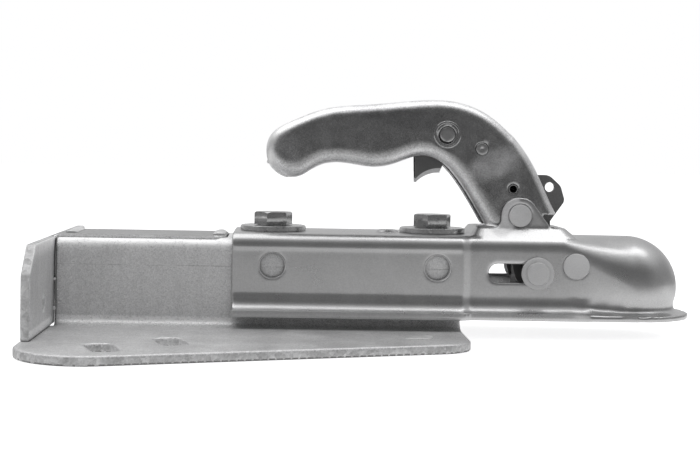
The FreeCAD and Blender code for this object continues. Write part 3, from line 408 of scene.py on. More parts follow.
@dataclass(frozen=True)
class SpangledZinc(Finish):
    """Hot-dip zinc: cloudy, with crystals, runs down the walls and a coarse skin.

    line is the height of the mill line on the walls, nothing where the sheet has none; it fades over
    line_reach and lies between the four places across the object of line_wall. thick is how much lighter the
    zinc is painted as a highlight: from the first to the second height of roof_bend, and round the height of
    foot_bend, whose second value is how far that reaches and foot_core which share of it is full. A ragged
    pattern breaks up the line, and flecks the painted highlight.
    """

    run_scale: float = 160.0
    runs: float = 0.10
    run_stretch: Point = (1.0, 1.0, 0.12)
    fleck_scale: float = 4.0
    fleck_edge: Pair = (0.25, 0.6)
    fleck_floor: float = 0.5
    line: float = 0.0
    line_reach: Pair = (0.12, 0.38)
    line_wall: tuple[float, float, float, float] = (29.0, 29.6, 30.2, 30.8)
    ragged_scale: float = 75.0
    ragged_stretch: Point = (1.0, 1.0, 0.3)
    ragged_edge: Pair = (0.36, 0.66)
    line_strength: float = 0.45
    line_tone: float = 0.16
    thick: float = 1.0
    roof_bend: Pair = (15.0, 23.0)
    foot_bend: Pair = (-19.6, 2.6)
    foot_core: float = 0.3
    lump_scale: float = 120.0
    lump: float = 2.5

    def marks(self, graph: Graph, place: Socket, tone: Socket) -> Socket:
        """Lays faint upright runs over the tone, and a broken mill line where the sheet has one.

        Args:
            graph: The graph to add to.
            place: Object coordinates.
            tone: The colour so far.

        Returns:
            The marked colour.
        """
        streak = graph.noise(place, self.run_scale, stretch=self.run_stretch)
        fleck = graph.noise(place, self.run_scale * self.fleck_scale, detail=2.0)
        level = graph.sway(streak, self.runs * 4)
        _, y, z = graph.axes(place)
        # Painted highlight: the upper walls, the roof and the foot bend are painted lighter.
        if self.thick > 1.0:
            level = graph.math("MULTIPLY", level, self.painted_highlight(graph, z, fleck))
        tone = graph.tint(tone, self.as_colour(graph, level))
        if self.line:
            tone = graph.blend(self.mill_line(graph, place, y, z), tone, grey(self.line_tone))
        return tone

    def painted_highlight(self, graph: Graph, height: Socket, fleck: Socket) -> Socket:
        """The painted highlight: how much lighter the zinc is painted on the upper walls, roof and foot bend.

        Args:
            graph: The graph to add to.
            height: The height above the ball's centre.
            fleck: A fine pattern that breaks it up.

        Returns:
            The factor on the tone.
        """
        middle, reach = self.foot_bend
        roof = graph.span(height, self.roof_bend[0] * MM, self.roof_bend[1] * MM)
        off = graph.math("ABSOLUTE", graph.math("SUBTRACT", height, middle * MM))
        foot = graph.span(off, self.foot_core * reach * MM, reach * MM, start=1.0, end=0.0)
        share = graph.math("MULTIPLY", graph.math("MAXIMUM", roof, foot),
                           graph.span(fleck, *self.fleck_edge, start=self.fleck_floor))
        return graph.math("MULTIPLY_ADD", share, self.thick - 1.0, 1.0)

    def mill_line(self, graph: Graph, place: Socket, across: Socket, height: Socket) -> Socket:
        """The faint line that the mill left along the walls.

        Args:
            graph: The graph to add to.
            place: Object coordinates.
            across: Their Y.
            height: Their Z.

        Returns:
            How strongly the line shows.
        """
        off = graph.math("ABSOLUTE", graph.math("SUBTRACT", height, self.line * MM))
        groove = graph.span(off, self.line_reach[0] * MM, self.line_reach[1] * MM, start=1.0, end=0.0)
        away = graph.math("ABSOLUTE", across)
        inner, skin, back, outer = (width * MM for width in self.line_wall)
        side = graph.math("MULTIPLY", graph.span(away, inner, skin), graph.span(away, back, outer, 1.0, 0.0))
        ragged = graph.noise(place, self.ragged_scale, detail=4.0, roughness=0.7, stretch=self.ragged_stretch)
        broken = graph.span(ragged, *self.ragged_edge, end=self.line_strength)
        return graph.math("MULTIPLY", graph.math("MULTIPLY", groove, side), broken)

    def relief(self, graph: Graph, place: Socket) -> object:
        """Lumps of thick zinc under the fine skin."""
        return graph.math("MULTIPLY", graph.noise(place, self.lump_scale, detail=2.0, roughness=0.5), self.lump)


@dataclass(frozen=True)
class StainedZinc(Finish):
    """Plated hardware with dark grease and dust caught in patches."""

    stain: float = 0.5
    stain_scale: float = 260.0
    stain_edge: Pair = (0.52, 0.66)
    stain_tone: float = 0.05

    def marks(self, graph: Graph, place: Socket, tone: Socket) -> Socket:
        """Lays dark patches over the tone.

        Args:
            graph: The graph to add to.
            place: Object coordinates.
            tone: The colour so far.

        Returns:
            The stained colour.
        """
        spread = graph.noise(place, self.stain_scale, detail=5.0, roughness=0.65)
        dirt = graph.math("MULTIPLY", graph.span(spread, *self.stain_edge), self.stain)
        return graph.blend(dirt, tone, grey(self.stain_tone))


@dataclass(frozen=True)
class PatchedFinish(Finish):
    """A finish with lighter and darker ovals, and grainier drawn bends that are also painted lighter as a
    highlight.

    flat is where the flat sides start, in millimetres from the middle plane; what lies inside it is bent
    sheet, and bend_fade is how far inside it the bend's look starts and ends to fade. painted_roll_highlight is
    how much lighter the bent sheet is painted, as a highlight.
    """

    patches: tuple[Patch, ...] = ()
    flat: float = 0.0
    bend_fade: Pair = (1.6, 0.1)
    drawn_gloss: float = 0.2
    painted_roll_highlight: float = 1.3

    def bent(self, graph: Graph, place: Socket) -> Socket:
        """The bent sheet, as against the flat sides.

        Args:
            graph: The graph to add to.
            place: Object coordinates.

        Returns:
            One on the bends, nothing on the flat sides.
        """
        across = graph.math("ABSOLUTE", graph.axes(place)[1])
        start, end = ((self.flat - fade) * MM for fade in self.bend_fade)
        return graph.span(across, start, end, 1.0, 0.0)

    def gloss(self, graph: Graph, place: Socket, rough: Socket) -> Socket:
        """Makes drawn bends less glossy than the flat sides.

        Args:
            graph: The graph to add to.
            place: Object coordinates.
            rough: The roughness so far.

        Returns:
            The new roughness.
        """
        if not self.flat:
            return rough
        return graph.math("MULTIPLY_ADD", self.bent(graph, place), self.drawn_gloss, rough)

    def dull(self, graph: Graph, place: Socket, metal: Socket) -> None:
        """Makes the metal less metallic inside the ovals that have matt.

        Args:
            graph: The graph to add to.
            place: Object coordinates.
            metal: The shader's metallic input.
        """
        level = self.metallic
        for spot in self.patches:
            if spot.matt:
                matt_share = graph.patch(place, spot)
                level = graph.math("MULTIPLY_ADD", matt_share, -spot.matt * self.metallic, level)
        if isinstance(level, Socket):
            graph.link(graph.math("MAXIMUM", level, 0.0), metal)

    def marks(self, graph: Graph, place: Socket, tone: Socket) -> Socket:
        """Lays the ovals and the painted highlight of the drawn bends over the tone.

        Args:
            graph: The graph to add to.
            place: Object coordinates.
            tone: The colour so far.

        Returns:
            The marked colour.
        """
        # Each oval paints its lightness over the tone; the one on the ear is a painted highlight, the first on
        # the grip a painted reflection.
        for spot in self.patches:
            tone = graph.blend(graph.patch(place, spot), tone, graph.tint(tone, grey(spot.tone)))
        # Painted highlight: the bent sheet is painted lighter by painted_roll_highlight.
        if self.flat:
            tone = graph.blend(self.bent(graph, place), tone, graph.tint(tone, grey(self.painted_roll_highlight)))
        return tone


ZINC_PLATE = PatchedFinish(
    "zinc_plate", tone=0.56, metallic=0.90, roughness=0.29, cloud_scale=60.0, cloud=0.07, grain_scale=1200.0,
    grain=0.09, gloss_break=0.03, bump_scale=1300.0, bump=0.22,
    # The oval on the ear, left of the pivot pin, is a painted highlight.
    patches=(Patch((-73.0, 42.0), (8.5, 14.0), tilt=-12.0, soft=0.25, tone=1.25, matt=0.7),))
DARK_CHROMATE = PatchedFinish(
    "dark_chromate", tone=0.40, metallic=0.98, roughness=0.20, cloud_scale=130.0, cloud=0.17,
    grain_scale=1100.0, grain=0.26, gloss_break=0.06, bump_scale=1200.0, bump=0.3,
    # painted_roll_highlight paints a highlight on the rolls of the grip.
    flat=16.2, drawn_gloss=0.26, painted_roll_highlight=2.3,
    # The first oval is a painted reflection on the side of the grip; the second darkens a long band near its
    # top, the third lightens its rear end.
    patches=(Patch((-77.5, 68.2), (15.0, 7.5), tilt=24.0, soft=0.9, tone=1.5, matt=0.35),
             Patch((-128.0, 93.0), (30.0, 6.0), tilt=-6.0, soft=0.8, tone=0.82),
             Patch((-196.0, 75.0), (9.0, 12.0), soft=0.6, tone=1.25)))
DARK_SHEET = Finish("dark_sheet", tone=0.20, metallic=0.75, roughness=0.38, grain=0.12, bump=0.15)
# The trigger's folded pad: lighter zinc of its own, painted brighter still as a highlight.
PAD_HIGHLIGHT_LEVER = PatchedFinish(
    "pad_highlight_lever", tone=0.18, metallic=0.75, roughness=0.38, grain=0.12, bump=0.15,
    patches=(Patch((-107.9, 47.9), (17.4, 17.4), soft=0.03, tone=4.2, matt=0.6),))
BLACK_STEEL = Finish("black_steel", tone=0.06, metallic=0.5, roughness=0.45)
CAST_JAW = Finish("cast_jaw", tone=0.16, metallic=0.6, roughness=0.5, bump=0.6, bump_scale=500.0,
                  bump_height=0.0003)
# recess paints shade into the gaps and under the body's flange.
HOT_DIP_ZINC = SpangledZinc(
    "hot_dip_zinc", tone=0.74, metallic=0.50, roughness=0.46, cloud_scale=38.0, cloud=0.07,
    grain_scale=1300.0, grain=0.22, speckle_scale=950.0, speckle=0.08, gloss_break=0.10, bump_scale=1100.0,
    # thick paints a highlight on the upper walls, the roof and the foot bend.
    bump=0.8, bump_height=0.00009, runs=0.07, painted_shade_reach=11.0, line=9.95, thick=1.45)
CUT_ZINC = SpangledZinc(
    "cut_edge_zinc", tone=0.68, metallic=0.25, roughness=0.55, cloud_scale=90.0, cloud=0.16,
    grain_scale=500.0, grain=0.2, speckle_scale=300.0, speckle=0.18, bump_scale=350.0, bump=0.8,
    bump_height=0.0002)
# A darker zinc for the upward faces of the tongue.
DARK_TOP_ZINC = SpangledZinc("dark_top_zinc", tone=0.44, metallic=0.4, roughness=0.5, cloud_scale=60.0, cloud=0.12,
                         grain=0.2, runs=0.05)
WELD_ZINC = SpangledZinc("weld_zinc", tone=0.85, metallic=0.35, roughness=0.35, cloud=0.15, bump=0.7,
                         bump_height=0.0002)
MATT_PIN = Finish("bright_pin", tone=0.66, metallic=0.15, roughness=0.55, grain=0.06, bump=0.2)
DARK_PIN = Finish("dark_pin", tone=0.42, metallic=0.9, roughness=0.3, grain=0.12)
# Near-black painted shade for the inside of the roll pin.
PAINTED_SHADE_BLACK = Finish("painted_shade_black", tone=0.012, metallic=0.0, roughness=0.8, edge=0.0)
SPRING_WIRE = Finish("spring_steel", tone=0.30, metallic=0.9, roughness=0.32)
FASTENER_ZINC = StainedZinc("fastener_zinc", tone=0.52, metallic=0.95, roughness=0.17, cloud=0.12, grain=0.14,
                            stain=0.45)
WASHER_ZINC = StainedZinc("washer_zinc", tone=0.60, metallic=0.80, roughness=0.25, cloud=0.10, grain=0.14,
                          stain=0.25)


# Workbench


class Bench:
    """Blender's operators, wrapped for work on one piece at a time."""

    @staticmethod
    def clear() -> None:
        """Leaves edit mode and deselects everything."""
        if bpy.context.view_layer.objects.active and bpy.context.mode != "OBJECT":
            bpy.ops.object.mode_set(mode="OBJECT")
        bpy.ops.object.select_all(action="DESELECT")

    @classmethod
    def pick(cls, *pieces: Piece) -> None:
        """Selects these pieces alone, the first one active.

        Args:
            pieces: What to select.
        """
        cls.clear()
        for piece in pieces:
            piece.select_set(True)
        bpy.context.view_layer.objects.active = pieces[0]

    @staticmethod
    def named(name: str) -> Piece:
        """Gives the active piece and its mesh a name.

        Args:
            name: The name.

        Returns:
            The piece.
        """
        piece = bpy.context.view_layer.objects.active
        piece.name = name
        piece.data.name = name
        return piece

    @classmethod
    def edit(cls, piece: Piece, action: Callable[[], None]) -> None:
        """Runs an action in edit mode on a piece, all of it selected.

        Args:
            piece: The piece to edit.
            action: What to do in edit mode.
        """
        cls.pick(piece)
        bpy.ops.object.mode_set(mode="EDIT")
        bpy.ops.mesh.select_all(action="SELECT")
        action()
        bpy.ops.object.mode_set(mode="OBJECT")

    @classmethod
    def settle(cls, piece: Piece) -> None:
        """Puts a piece's place, turn and scale into its mesh."""
        cls.pick(piece)
        bpy.ops.object.transform_apply(location=True, rotation=True, scale=True)

    @classmethod
    def modify(cls, piece: Piece, kind: str, **settings: object) -> None:
        """Adds a modifier and applies it.

        Args:
            piece: The piece.
            kind: Blender's modifier type.
            settings: The modifier's settings.
        """
        cls.pick(piece)
        made = piece.modifiers.new(kind.lower(), kind)
        for name, value in settings.items():
            setattr(made, name, value)
        bpy.ops.object.modifier_apply(modifier=made.name)

    @classmethod
    def shade(cls, piece: Piece, how: Shading) -> None:
        """Shades a piece smooth and keeps its sharp edges."""
        cls.pick(piece)
        bpy.ops.object.shade_smooth_by_angle(angle=math.radians(how.value))

    @classmethod
    def outward(cls, piece: Piece) -> None:
        """Merges doubles and turns all faces outward.

        Args:
            piece: The piece.
        """
        def action() -> None:
            """Merges and turns them in edit mode."""
            bpy.ops.mesh.remove_doubles(threshold=SEAM_MERGE)
            bpy.ops.mesh.normals_make_consistent(inside=False)
        cls.edit(piece, action)

    @classmethod
    def join(cls, name: str, pieces: Sequence[Piece]) -> Piece:
        """Joins pieces into one.

        Args:
            name: The new name.
            pieces: What to join.

        Returns:
            The joined piece.
        """
        cls.pick(*pieces)
        if len(pieces) > 1:
            bpy.ops.object.join()
        return cls.named(name)

    @classmethod
    def copy_of(cls, node: str, name: str) -> Piece:
        """A merged copy of a CAD node, ready to be worked on.

        Args:
            node: The CAD node's name.
            name: The copy's name.

        Returns:
            The copy.
        """
        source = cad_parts[node]
        piece = bpy.data.objects.new(name, source.data.copy())
        piece.data.name = name
        piece.data.materials.clear()
        bpy.context.scene.collection.objects.link(piece)
        cls.pick(piece)
        bpy.ops.mesh.customdata_custom_splitnormals_clear()
        cls.edit(piece, lambda: bpy.ops.mesh.remove_doubles(threshold=MERGE))
        return piece

    @classmethod
    def rounded_copy(cls, node: str, name: str, grid: float, relax: int, ease: int) -> Piece:
        """A copy of a solid on an even grid, its bends and edges rounded as pressing or dipping leaves them.

        Args:
            node: The CAD node's name.
            name: The copy's name.
            grid: Width of a face in millimetres.
            relax: Smoothing steps before the grid is laid back onto the solid.
            ease: Smoothing steps after that, which round the edges.

        Returns:
            The copy.
        """
        piece = cls.copy_of(node, name)
        solid = cls.copy_of(node, name + "_solid")
        cls.modify(piece, "REMESH", mode="VOXEL", voxel_size=grid * MM, adaptivity=0.0)
        cls.modify(piece, "SMOOTH", factor=0.5, iterations=relax)
        cls.modify(piece, "SHRINKWRAP", target=solid, wrap_method="NEAREST_SURFACEPOINT")
        cls.modify(piece, "SMOOTH", factor=0.5, iterations=ease)
        bpy.data.objects.remove(solid)
        return piece

    @classmethod
    def ease_where(cls, piece: Piece, steps: int, weight: Callable[[Vector], float]) -> None:
        """Smooths part of a piece.

        Args:
            piece: The piece.
            steps: Smoothing steps.
            weight: How much each place is smoothed, from nothing to one.
        """
        group = piece.vertex_groups.new(name="eased")
        for corner in piece.data.vertices:
            share = weight(corner.co / MM)
            if share > 0.0:
                group.add([corner.index], min(1.0, share), "REPLACE")
        cls.modify(piece, "SMOOTH", factor=0.5, iterations=steps, vertex_group="eased")
        piece.vertex_groups.clear()

    @classmethod
    def cylinder(cls, name: str, radius: float, depth: float, place: Point, turn: Point = ORIGIN,
                 sides: int = 64) -> Piece:
        """A round or many-sided bar to start from.

        Args:
            name: The piece's name.
            radius: Radius in millimetres.
            depth: Length in millimetres.
            place: Its centre in millimetres.
            turn: Turn about each axis in degrees.
            sides: How many sides it has.

        Returns:
            The piece, its place in its mesh.
        """
        cls.clear()
        bpy.ops.mesh.primitive_cylinder_add(vertices=sides, radius=radius * MM, depth=depth * MM,
                                            location=Vector(place) * MM,
                                            rotation=[math.radians(angle) for angle in turn])
        piece = cls.named(name)
        cls.settle(piece)
        return piece

    @classmethod
    def drawn(cls, name: str, points: Sequence[Point]) -> Piece:
        """A line through points in millimetres, drawn by extruding one corner from place to place.

        Args:
            name: The piece's name.
            points: The places in order.

        Returns:
            The line.
        """
        cls.clear()
        bpy.ops.mesh.primitive_plane_add(size=MM)
        piece = cls.named(name)
        bpy.ops.object.mode_set(mode="EDIT")
        bpy.ops.mesh.select_mode(type="VERT")
        bpy.ops.mesh.select_all(action="SELECT")
        bpy.ops.mesh.merge(type="CENTER")
        bpy.ops.transform.translate(value=Vector(points[0]) * MM)
        for before, after in zip(points, points[1:]):
            step = (Vector(after) - Vector(before)) * MM
            bpy.ops.mesh.extrude_region_move(TRANSFORM_OT_translate={"value": step})
        bpy.ops.object.mode_set(mode="OBJECT")
        return piece

    @classmethod
    def turned(cls, name: str, profile: Profile, centre: Point = ORIGIN, upright: bool = False,
               steps: int = 48) -> Piece:
        """A turned piece: a profile spun once round its axis and closed.

        Args:
            name: The piece's name.
            profile: Pairs of radius and place along the axis, in millimetres.
            centre: Where the axis starts, in millimetres.
            upright: Whether the axis stands up; otherwise it lies across the object.
            steps: How many steps the turn has.

        Returns:
            The piece.
        """
        places = [(radius, 0.0, along) if upright else (radius, along, 0.0) for radius, along in profile]
        piece = cls.drawn(name, places)
        axis = (0.0, 0.0, 1.0) if upright else (0.0, 1.0, 0.0)

        def action() -> None:
            """Spins the profile, closes it and puts it in place."""
            bpy.ops.mesh.spin(steps=steps, angle=2 * math.pi, center=ORIGIN, axis=axis)
            bpy.ops.mesh.select_all(action="SELECT")
            bpy.ops.mesh.remove_doubles(threshold=MERGE)
            bpy.ops.mesh.normals_make_consistent(inside=False)
            bpy.ops.transform.translate(value=Vector(centre) * MM)
        cls.edit(piece, action)
        return piece

    @classmethod
    def roughen(cls, piece: Piece, amount: float, seed: int) -> None:
        """Moves every corner a little, as hammering or dipping does.

        Args:
            piece: The piece.
            amount: How far, in millimetres.
            seed: Which of the random patterns.
        """
        cls.edit(piece, lambda: bpy.ops.transform.vertex_random(offset=amount * MM, seed=seed))

    @classmethod
    def again(cls, piece: Piece, name: str, move: Point = ORIGIN, scale: Point = (1.0, 1.0, 1.0)) -> Piece:
        """Another of a piece, with its own mesh.

        Args:
            piece: What is copied.
            name: The copy's name.
            move: How far it is moved, in millimetres.
            scale: Its scale about the origin before that.

        Returns:
            The copy.
        """
        cls.pick(piece)
        bpy.ops.object.duplicate(linked=False)
        copy = cls.named(name)
        copy.scale = scale
        copy.location = Vector(move) * MM
        cls.settle(copy)
        return copy

    @classmethod
    def cut(cls, piece: Piece, tool: Piece, operation: str = "DIFFERENCE") -> None:
        """Cuts a piece with a tool, which is used up.

        Args:
            piece: What is cut.
            tool: What cuts.
            operation: DIFFERENCE, INTERSECT or UNION.
        """
        cls.modify(piece, "BOOLEAN", operation=operation, object=tool, solver="EXACT")
        bpy.data.objects.remove(tool)


def dress(piece: Piece, finish: Finish, body: Body, slot: str, *nodes: str) -> None:
    """Gives a finished piece its material, its body and the CAD nodes it stands for.

    Args:
        piece: The piece.
        finish: Its finish.
        body: The body it rides on.
        slot: The record's material slot; not used.
        nodes: The CAD nodes it replaces.
    """
    if not piece.data.materials:
        piece.data.materials.append(finish.build())
    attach(piece, body.value)
    if nodes:
        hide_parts(*nodes)
        for node in nodes:
            paint(node, finish)
    LOG.info("%s: %d faces, on %s", piece.name, len(piece.data.polygons), body.value)


def paint(node: str, finish: Finish) -> None:
    """Gives a CAD node a finish through its material slots.

    Args:
        node: The CAD node's name.
        finish: Its finish.
    """
    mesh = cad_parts[node].data
    mesh.materials.clear()
    mesh.materials.append(finish.build())


# Pressed coupling


@dataclass
class CouplingShell:
    """The pressed body: a merged copy of the solid, its bends and edges rounded as pressing leaves them.

    grid, relax and ease are those of Bench.rounded_copy. The hollow bend above the flange has the radius
    bend, and over bend_fade ahead of nose_start it runs out into sharp_bend; skin is how far off the wall
    still counts as its outside. half_widths pairs places along the body with its half width. A level, a depth
    and a reach say where the hollow bends round the nose and along the walls lie, and the gains and fades how
    soon they are smoothed in full.
    """

    grid: float = 1.0
    relax: int = 4
    ease: int = 3
    flange_top: float = -13.7
    bend: float = 9.0
    sharp_bend: float = 4.0
    nose_start: float = -12.0
    bend_fade: float = 25.0
    skin: float = 0.6
    half_widths: tuple[Pair, ...] = ((-223.0, 33.5), (-97.0, 33.5), (-92.0, 30.5), (-40.0, 30.5), (0.0, 28.5),
                                     (40.0, 28.5))
    nose_relax: int = 120
    nose_level: float = -10.0
    nose_depth: float = 5.0
    nose_reach: float = 34.6
    nose_back: float = -30.0
    nose_fade: float = 15.0
    nose_gain: float = 2.5
    bend_relax: int = 10
    bend_level: float = -9.5
    bend_depth: float = 4.0
    bend_reach: float = 5.0
    bend_gain: float = 1.5
    side_fade: float = 2.0
    hole_height: float = 11.0
    hole_radius: float = 6.7
    panel: float = 33.1
    rim_width: float = 1.0
    rim_depth: float = 2.6

    def wall(self, along: float) -> float:
        """Half width of the body at a place along it.

        Args:
            along: The place along the body.

        Returns:
            The half width.
        """
        for (start, first), (end, last) in zip(self.half_widths, self.half_widths[1:]):
            if along <= end:
                return first + (last - first) * max(0.0, along - start) / (end - start)
        return self.half_widths[-1][1]

    def fill_bend(self, piece: Piece) -> None:
        """Widens the hollow bend between walls and flange on the outer skin, to an arc of full width.

        Args:
            piece: The body.
        """
        for corner in piece.data.vertices:
            along, across, height = corner.co / MM
            fade = min(1.0, max(0.0, (self.nose_start - along) / self.bend_fade))
            radius = self.sharp_bend + (self.bend - self.sharp_bend) * fade
            wall, reach = self.wall(along), abs(across)
            if along > self.nose_start or reach < wall - self.skin or height <= self.flange_top - self.skin:
                continue
            out, up = reach - wall - radius, height - self.flange_top - radius
            away = math.hypot(out, up)
            if out < 0.0 and up < 0.0 and away > radius:
                reach = wall + radius + out * radius / away
                height = self.flange_top + radius + up * radius / away
                corner.co = Vector((along, math.copysign(reach, across), height)) * MM

    def in_nose_bend(self, place: Vector) -> float:
        """How far a place lies in the hollow bend round the nose.

        Args:
            place: The place.

        Returns:
            Nothing or less outside the bend, one or more deep in it.
        """
        depth = abs(place.z - self.nose_level) / self.nose_depth
        reach = math.hypot(max(place.x, 0.0), place.y)
        return min(self.nose_gain * (1.0 - depth), (self.nose_reach - reach) / self.side_fade,
                   (place.x - self.nose_back) / self.nose_fade)

    def in_flange_bend(self, place: Vector) -> float:
        """How far a place lies in the hollow bend along the walls.

        Args:
            place: The place.

        Returns:
            Nothing or less outside the bend, one or more deep in it.
        """
        depth = abs(place.z - self.bend_level) / self.bend_depth
        out = self.wall(place.x) + self.bend_reach - abs(place.y)
        return min(self.bend_gain - depth, out / self.side_fade)

    def hole_rims(self) -> None:
        """The turned-in rims of the four round holes in the sides, below the bolts."""
        low, high = self.panel - self.rim_depth, self.panel
        inner, outer = self.hole_radius, self.hole_radius + self.rim_width
        profile = ((inner, -low), (inner, -high + 0.25), (inner + 0.12, -high), (inner + 0.35, -high - 0.12),
                   (outer - 0.3, -high - 0.1), (outer, -high + 0.1), (outer, -low), (inner, -low))
        rim = Bench.turned("rim", profile)
        rims = [Bench.again(rim, f"rim_{hand.name.lower()}_{count}", (along, 0.0, self.hole_height),
                            (1.0, -float(hand.value), 1.0))
                for count, along in enumerate(BOLT_PLACES) for hand in Hand]
        bpy.data.objects.remove(rim)
        piece = Bench.join("side_hole_rims", rims)
        Bench.outward(piece)
        Bench.shade(piece, Shading.ROUND)
        dress(piece, ZINC_PLATE, Body.HOUSING, "zinc_plate")

    def build(self) -> None:
        """Makes and dresses the body; pressing leaves the hollow bend at the flange wide."""
        piece = Bench.rounded_copy("coupling_body", "pressed_body", self.grid, self.relax, self.ease)
        self.fill_bend(piece)
        Bench.ease_where(piece, self.nose_relax, self.in_nose_bend)
        Bench.ease_where(piece, self.bend_relax, self.in_flange_bend)
        Bench.shade(piece, Shading.ROUND)
        dress(piece, ZINC_PLATE, Body.HOUSING, "zinc_plate", "coupling_body")
        self.hole_rims()


@dataclass
class GripHandle:
    """The pressed handle with everything fixed in it.

    A roll is the bend between a side and the back of the grip: full from the rim to roll_reach on the side,
    run out by roll_end, and left plain ahead of roll_front. The rim is what faces along the grip by rim_slope
    and lies rim_inset inside the side.
    """

    grid: float = 0.78
    relax: int = 4
    ease: int = 2
    roll_relax: int = 110
    roll_reach: float = 9.5
    roll_end: float = 12.5
    roll_front: float = -68.0
    rim_slope: float = 0.35
    rim_inset: float = 5.0
    crown: float = 2.0
    half_width: float = 16.2
    trigger_place: Pair = (-104.7, 84.1)
    rivet_place: Pair = (-85.3, 76.5)
    roll_place: Pair = (-67.4, 54.4)
    nub_place: Pair = (-203.9, 67.4)

    def round_rolls(self, piece: Piece) -> None:
        """Turns the bends between the sides and the back of the grip into full, wide rolls.

        Args:
            piece: The handle.
        """
        rim = [corner.co for corner in piece.data.vertices
               if abs(corner.normal.y) < self.rim_slope
               and abs(corner.co.y) < (self.half_width - self.rim_inset) * MM]
        tree = KDTree(len(rim))
        for count, place in enumerate(rim):
            tree.insert((place.x, 0.0, place.z), count)
        tree.balance()

        def weight(place: Vector) -> float:
            """How much a place is smoothed, by its distance from the rim in side view.

            Args:
                place: The place.

            Returns:
                Nothing on the flat side, one or more on the roll.
            """
            if place.x > self.roll_front or abs(place.y) < self.crown:
                return 0.0
            depth = tree.find((place.x * MM, 0.0, place.z * MM))[2] / MM
            return (self.roll_end - depth) / (self.roll_end - self.roll_reach)
        Bench.ease_where(piece, self.roll_relax, weight)

    def build(self) -> None:
        """Makes and dresses the handle and what is fixed in it."""
        piece = Bench.rounded_copy("handle", "grip_shell", self.grid, self.relax, self.ease)
        self.round_rolls(piece)
        Bench.shade(piece, Shading.ROUND)
        dress(piece, DARK_CHROMATE, Body.LEVER, "dark_chromate", "handle")
        for node in ("near_drive_arm", "far_drive_arm"):
            self.plain(node, BLACK_STEEL, "black_steel")
        for node in ("handle_spring", "trigger_spring"):
            self.plain(node, SPRING_WIRE, "spring_steel")
        self.trigger_pin()
        self.spacer_rivet()
        self.roll_pin()
        self.pressed_rings()
        self.end_nub()

    def trigger_pin(self) -> None:
        """The upset trigger pin: a low crowned end with a soft edge."""
        half = ((0.0, -16.55), (1.6, -16.6), (3.2, -16.68), (3.75, -16.6), (4.1, -16.35), (4.25, -16.0))
        piece = Bench.turned("trigger_pin_upset", both_ends(half), mid(self.trigger_place), steps=36)
        Bench.roughen(piece, 0.05, seed=3)
        Bench.shade(piece, Shading.MACHINED)
        dress(piece, DARK_PIN, Body.LEVER, "dark_pin", "trigger_pin")

    def spacer_rivet(self) -> None:
        """The small rivet, with the punch mark in the middle of each head."""
        half = ((0.0, -16.45), (0.55, -16.55), (0.95, -16.9), (1.3, -17.0), (2.7, -16.98), (3.15, -16.85),
                (3.4, -16.55), (3.4, -16.15), (3.0, -16.1))
        piece = Bench.turned("spacer_rivet_upset", both_ends(half), mid(self.rivet_place), steps=32)
        Bench.roughen(piece, 0.06, seed=5)
        Bench.shade(piece, Shading.ROUND)
        dress(piece, DARK_PIN, Body.LEVER, "dark_pin", "spacer_rivet")

    def roll_pin(self) -> None:
        """The hollow pin, its inside painted black as shade."""
        profile = ((1.9, -15.9), (2.15, -16.2), (2.45, -16.2), (2.65, -15.9), (2.65, 15.9), (2.45, 16.2),
                   (2.15, 16.2), (1.9, 15.9), (1.9, -15.9))
        piece = Bench.turned("roll_pin_tube", profile, mid(self.roll_place), steps=32)
        piece.data.materials.append(DARK_PIN.build())
        piece.data.materials.append(PAINTED_SHADE_BLACK.build())
        middle = Vector(mid(self.roll_place)) * MM
        # Faces that look inward are painted black as shade.
        for face in piece.data.polygons:
            inward = middle - face.center
            inward.y = 0.0
            face.material_index = int(face.normal.dot(inward.normalized()) > 0.7)
        Bench.shade(piece, Shading.MACHINED)
        dress(piece, DARK_PIN, Body.LEVER, "dark_pin", "roll_pin")

    def pressed_rings(self) -> None:
        """The rings pressed up round the ends of the trigger pin, one on each side of the handle."""
        low = self.half_width - 0.2
        rings = []
        for hand in Hand:
            bead = [(6.05, low), (6.3, low + 0.42), (6.75, low + 0.62), (7.2, low + 0.55), (7.6, low + 0.3),
                    (7.85, low - 0.1), (6.05, low)]
            profile = [(radius, hand.value * along) for radius, along in bead]
            name = f"ring_{hand.name.lower()}"
            rings.append(Bench.turned(name, profile, mid(self.trigger_place), steps=56))
        piece = Bench.join("pressed_rings", rings)
        Bench.shade(piece, Shading.ROUND)
        dress(piece, DARK_CHROMATE, Body.LEVER, "dark_chromate")

    def end_nub(self) -> None:
        """The small nub left at the rear end of the handle."""
        profile = ((0.0, 1.35), (0.7, 1.15), (1.15, 0.6), (1.3, -0.2), (1.1, -0.9), (0.0, -1.3))
        piece = Bench.turned("end_nub", profile, mid(self.nub_place), upright=True, steps=14)
        Bench.roughen(piece, 0.1, seed=8)
        Bench.shade(piece, Shading.ROUND)
        dress(piece, DARK_CHROMATE, Body.LEVER, "dark_chromate")

    @staticmethod
    def plain(node: str, finish: Finish, slot: str) -> None:
        """A merged, smooth-shaded copy of one small solid.

        Args:
            node: The CAD node's name.
            finish: Its finish.
            slot: The record's material slot.
        """
        piece = Bench.copy_of(node, node + "_dressed")
        Bench.shade(piece, Shading.MACHINED)
        dress(piece, finish, Body.LEVER, slot, node)


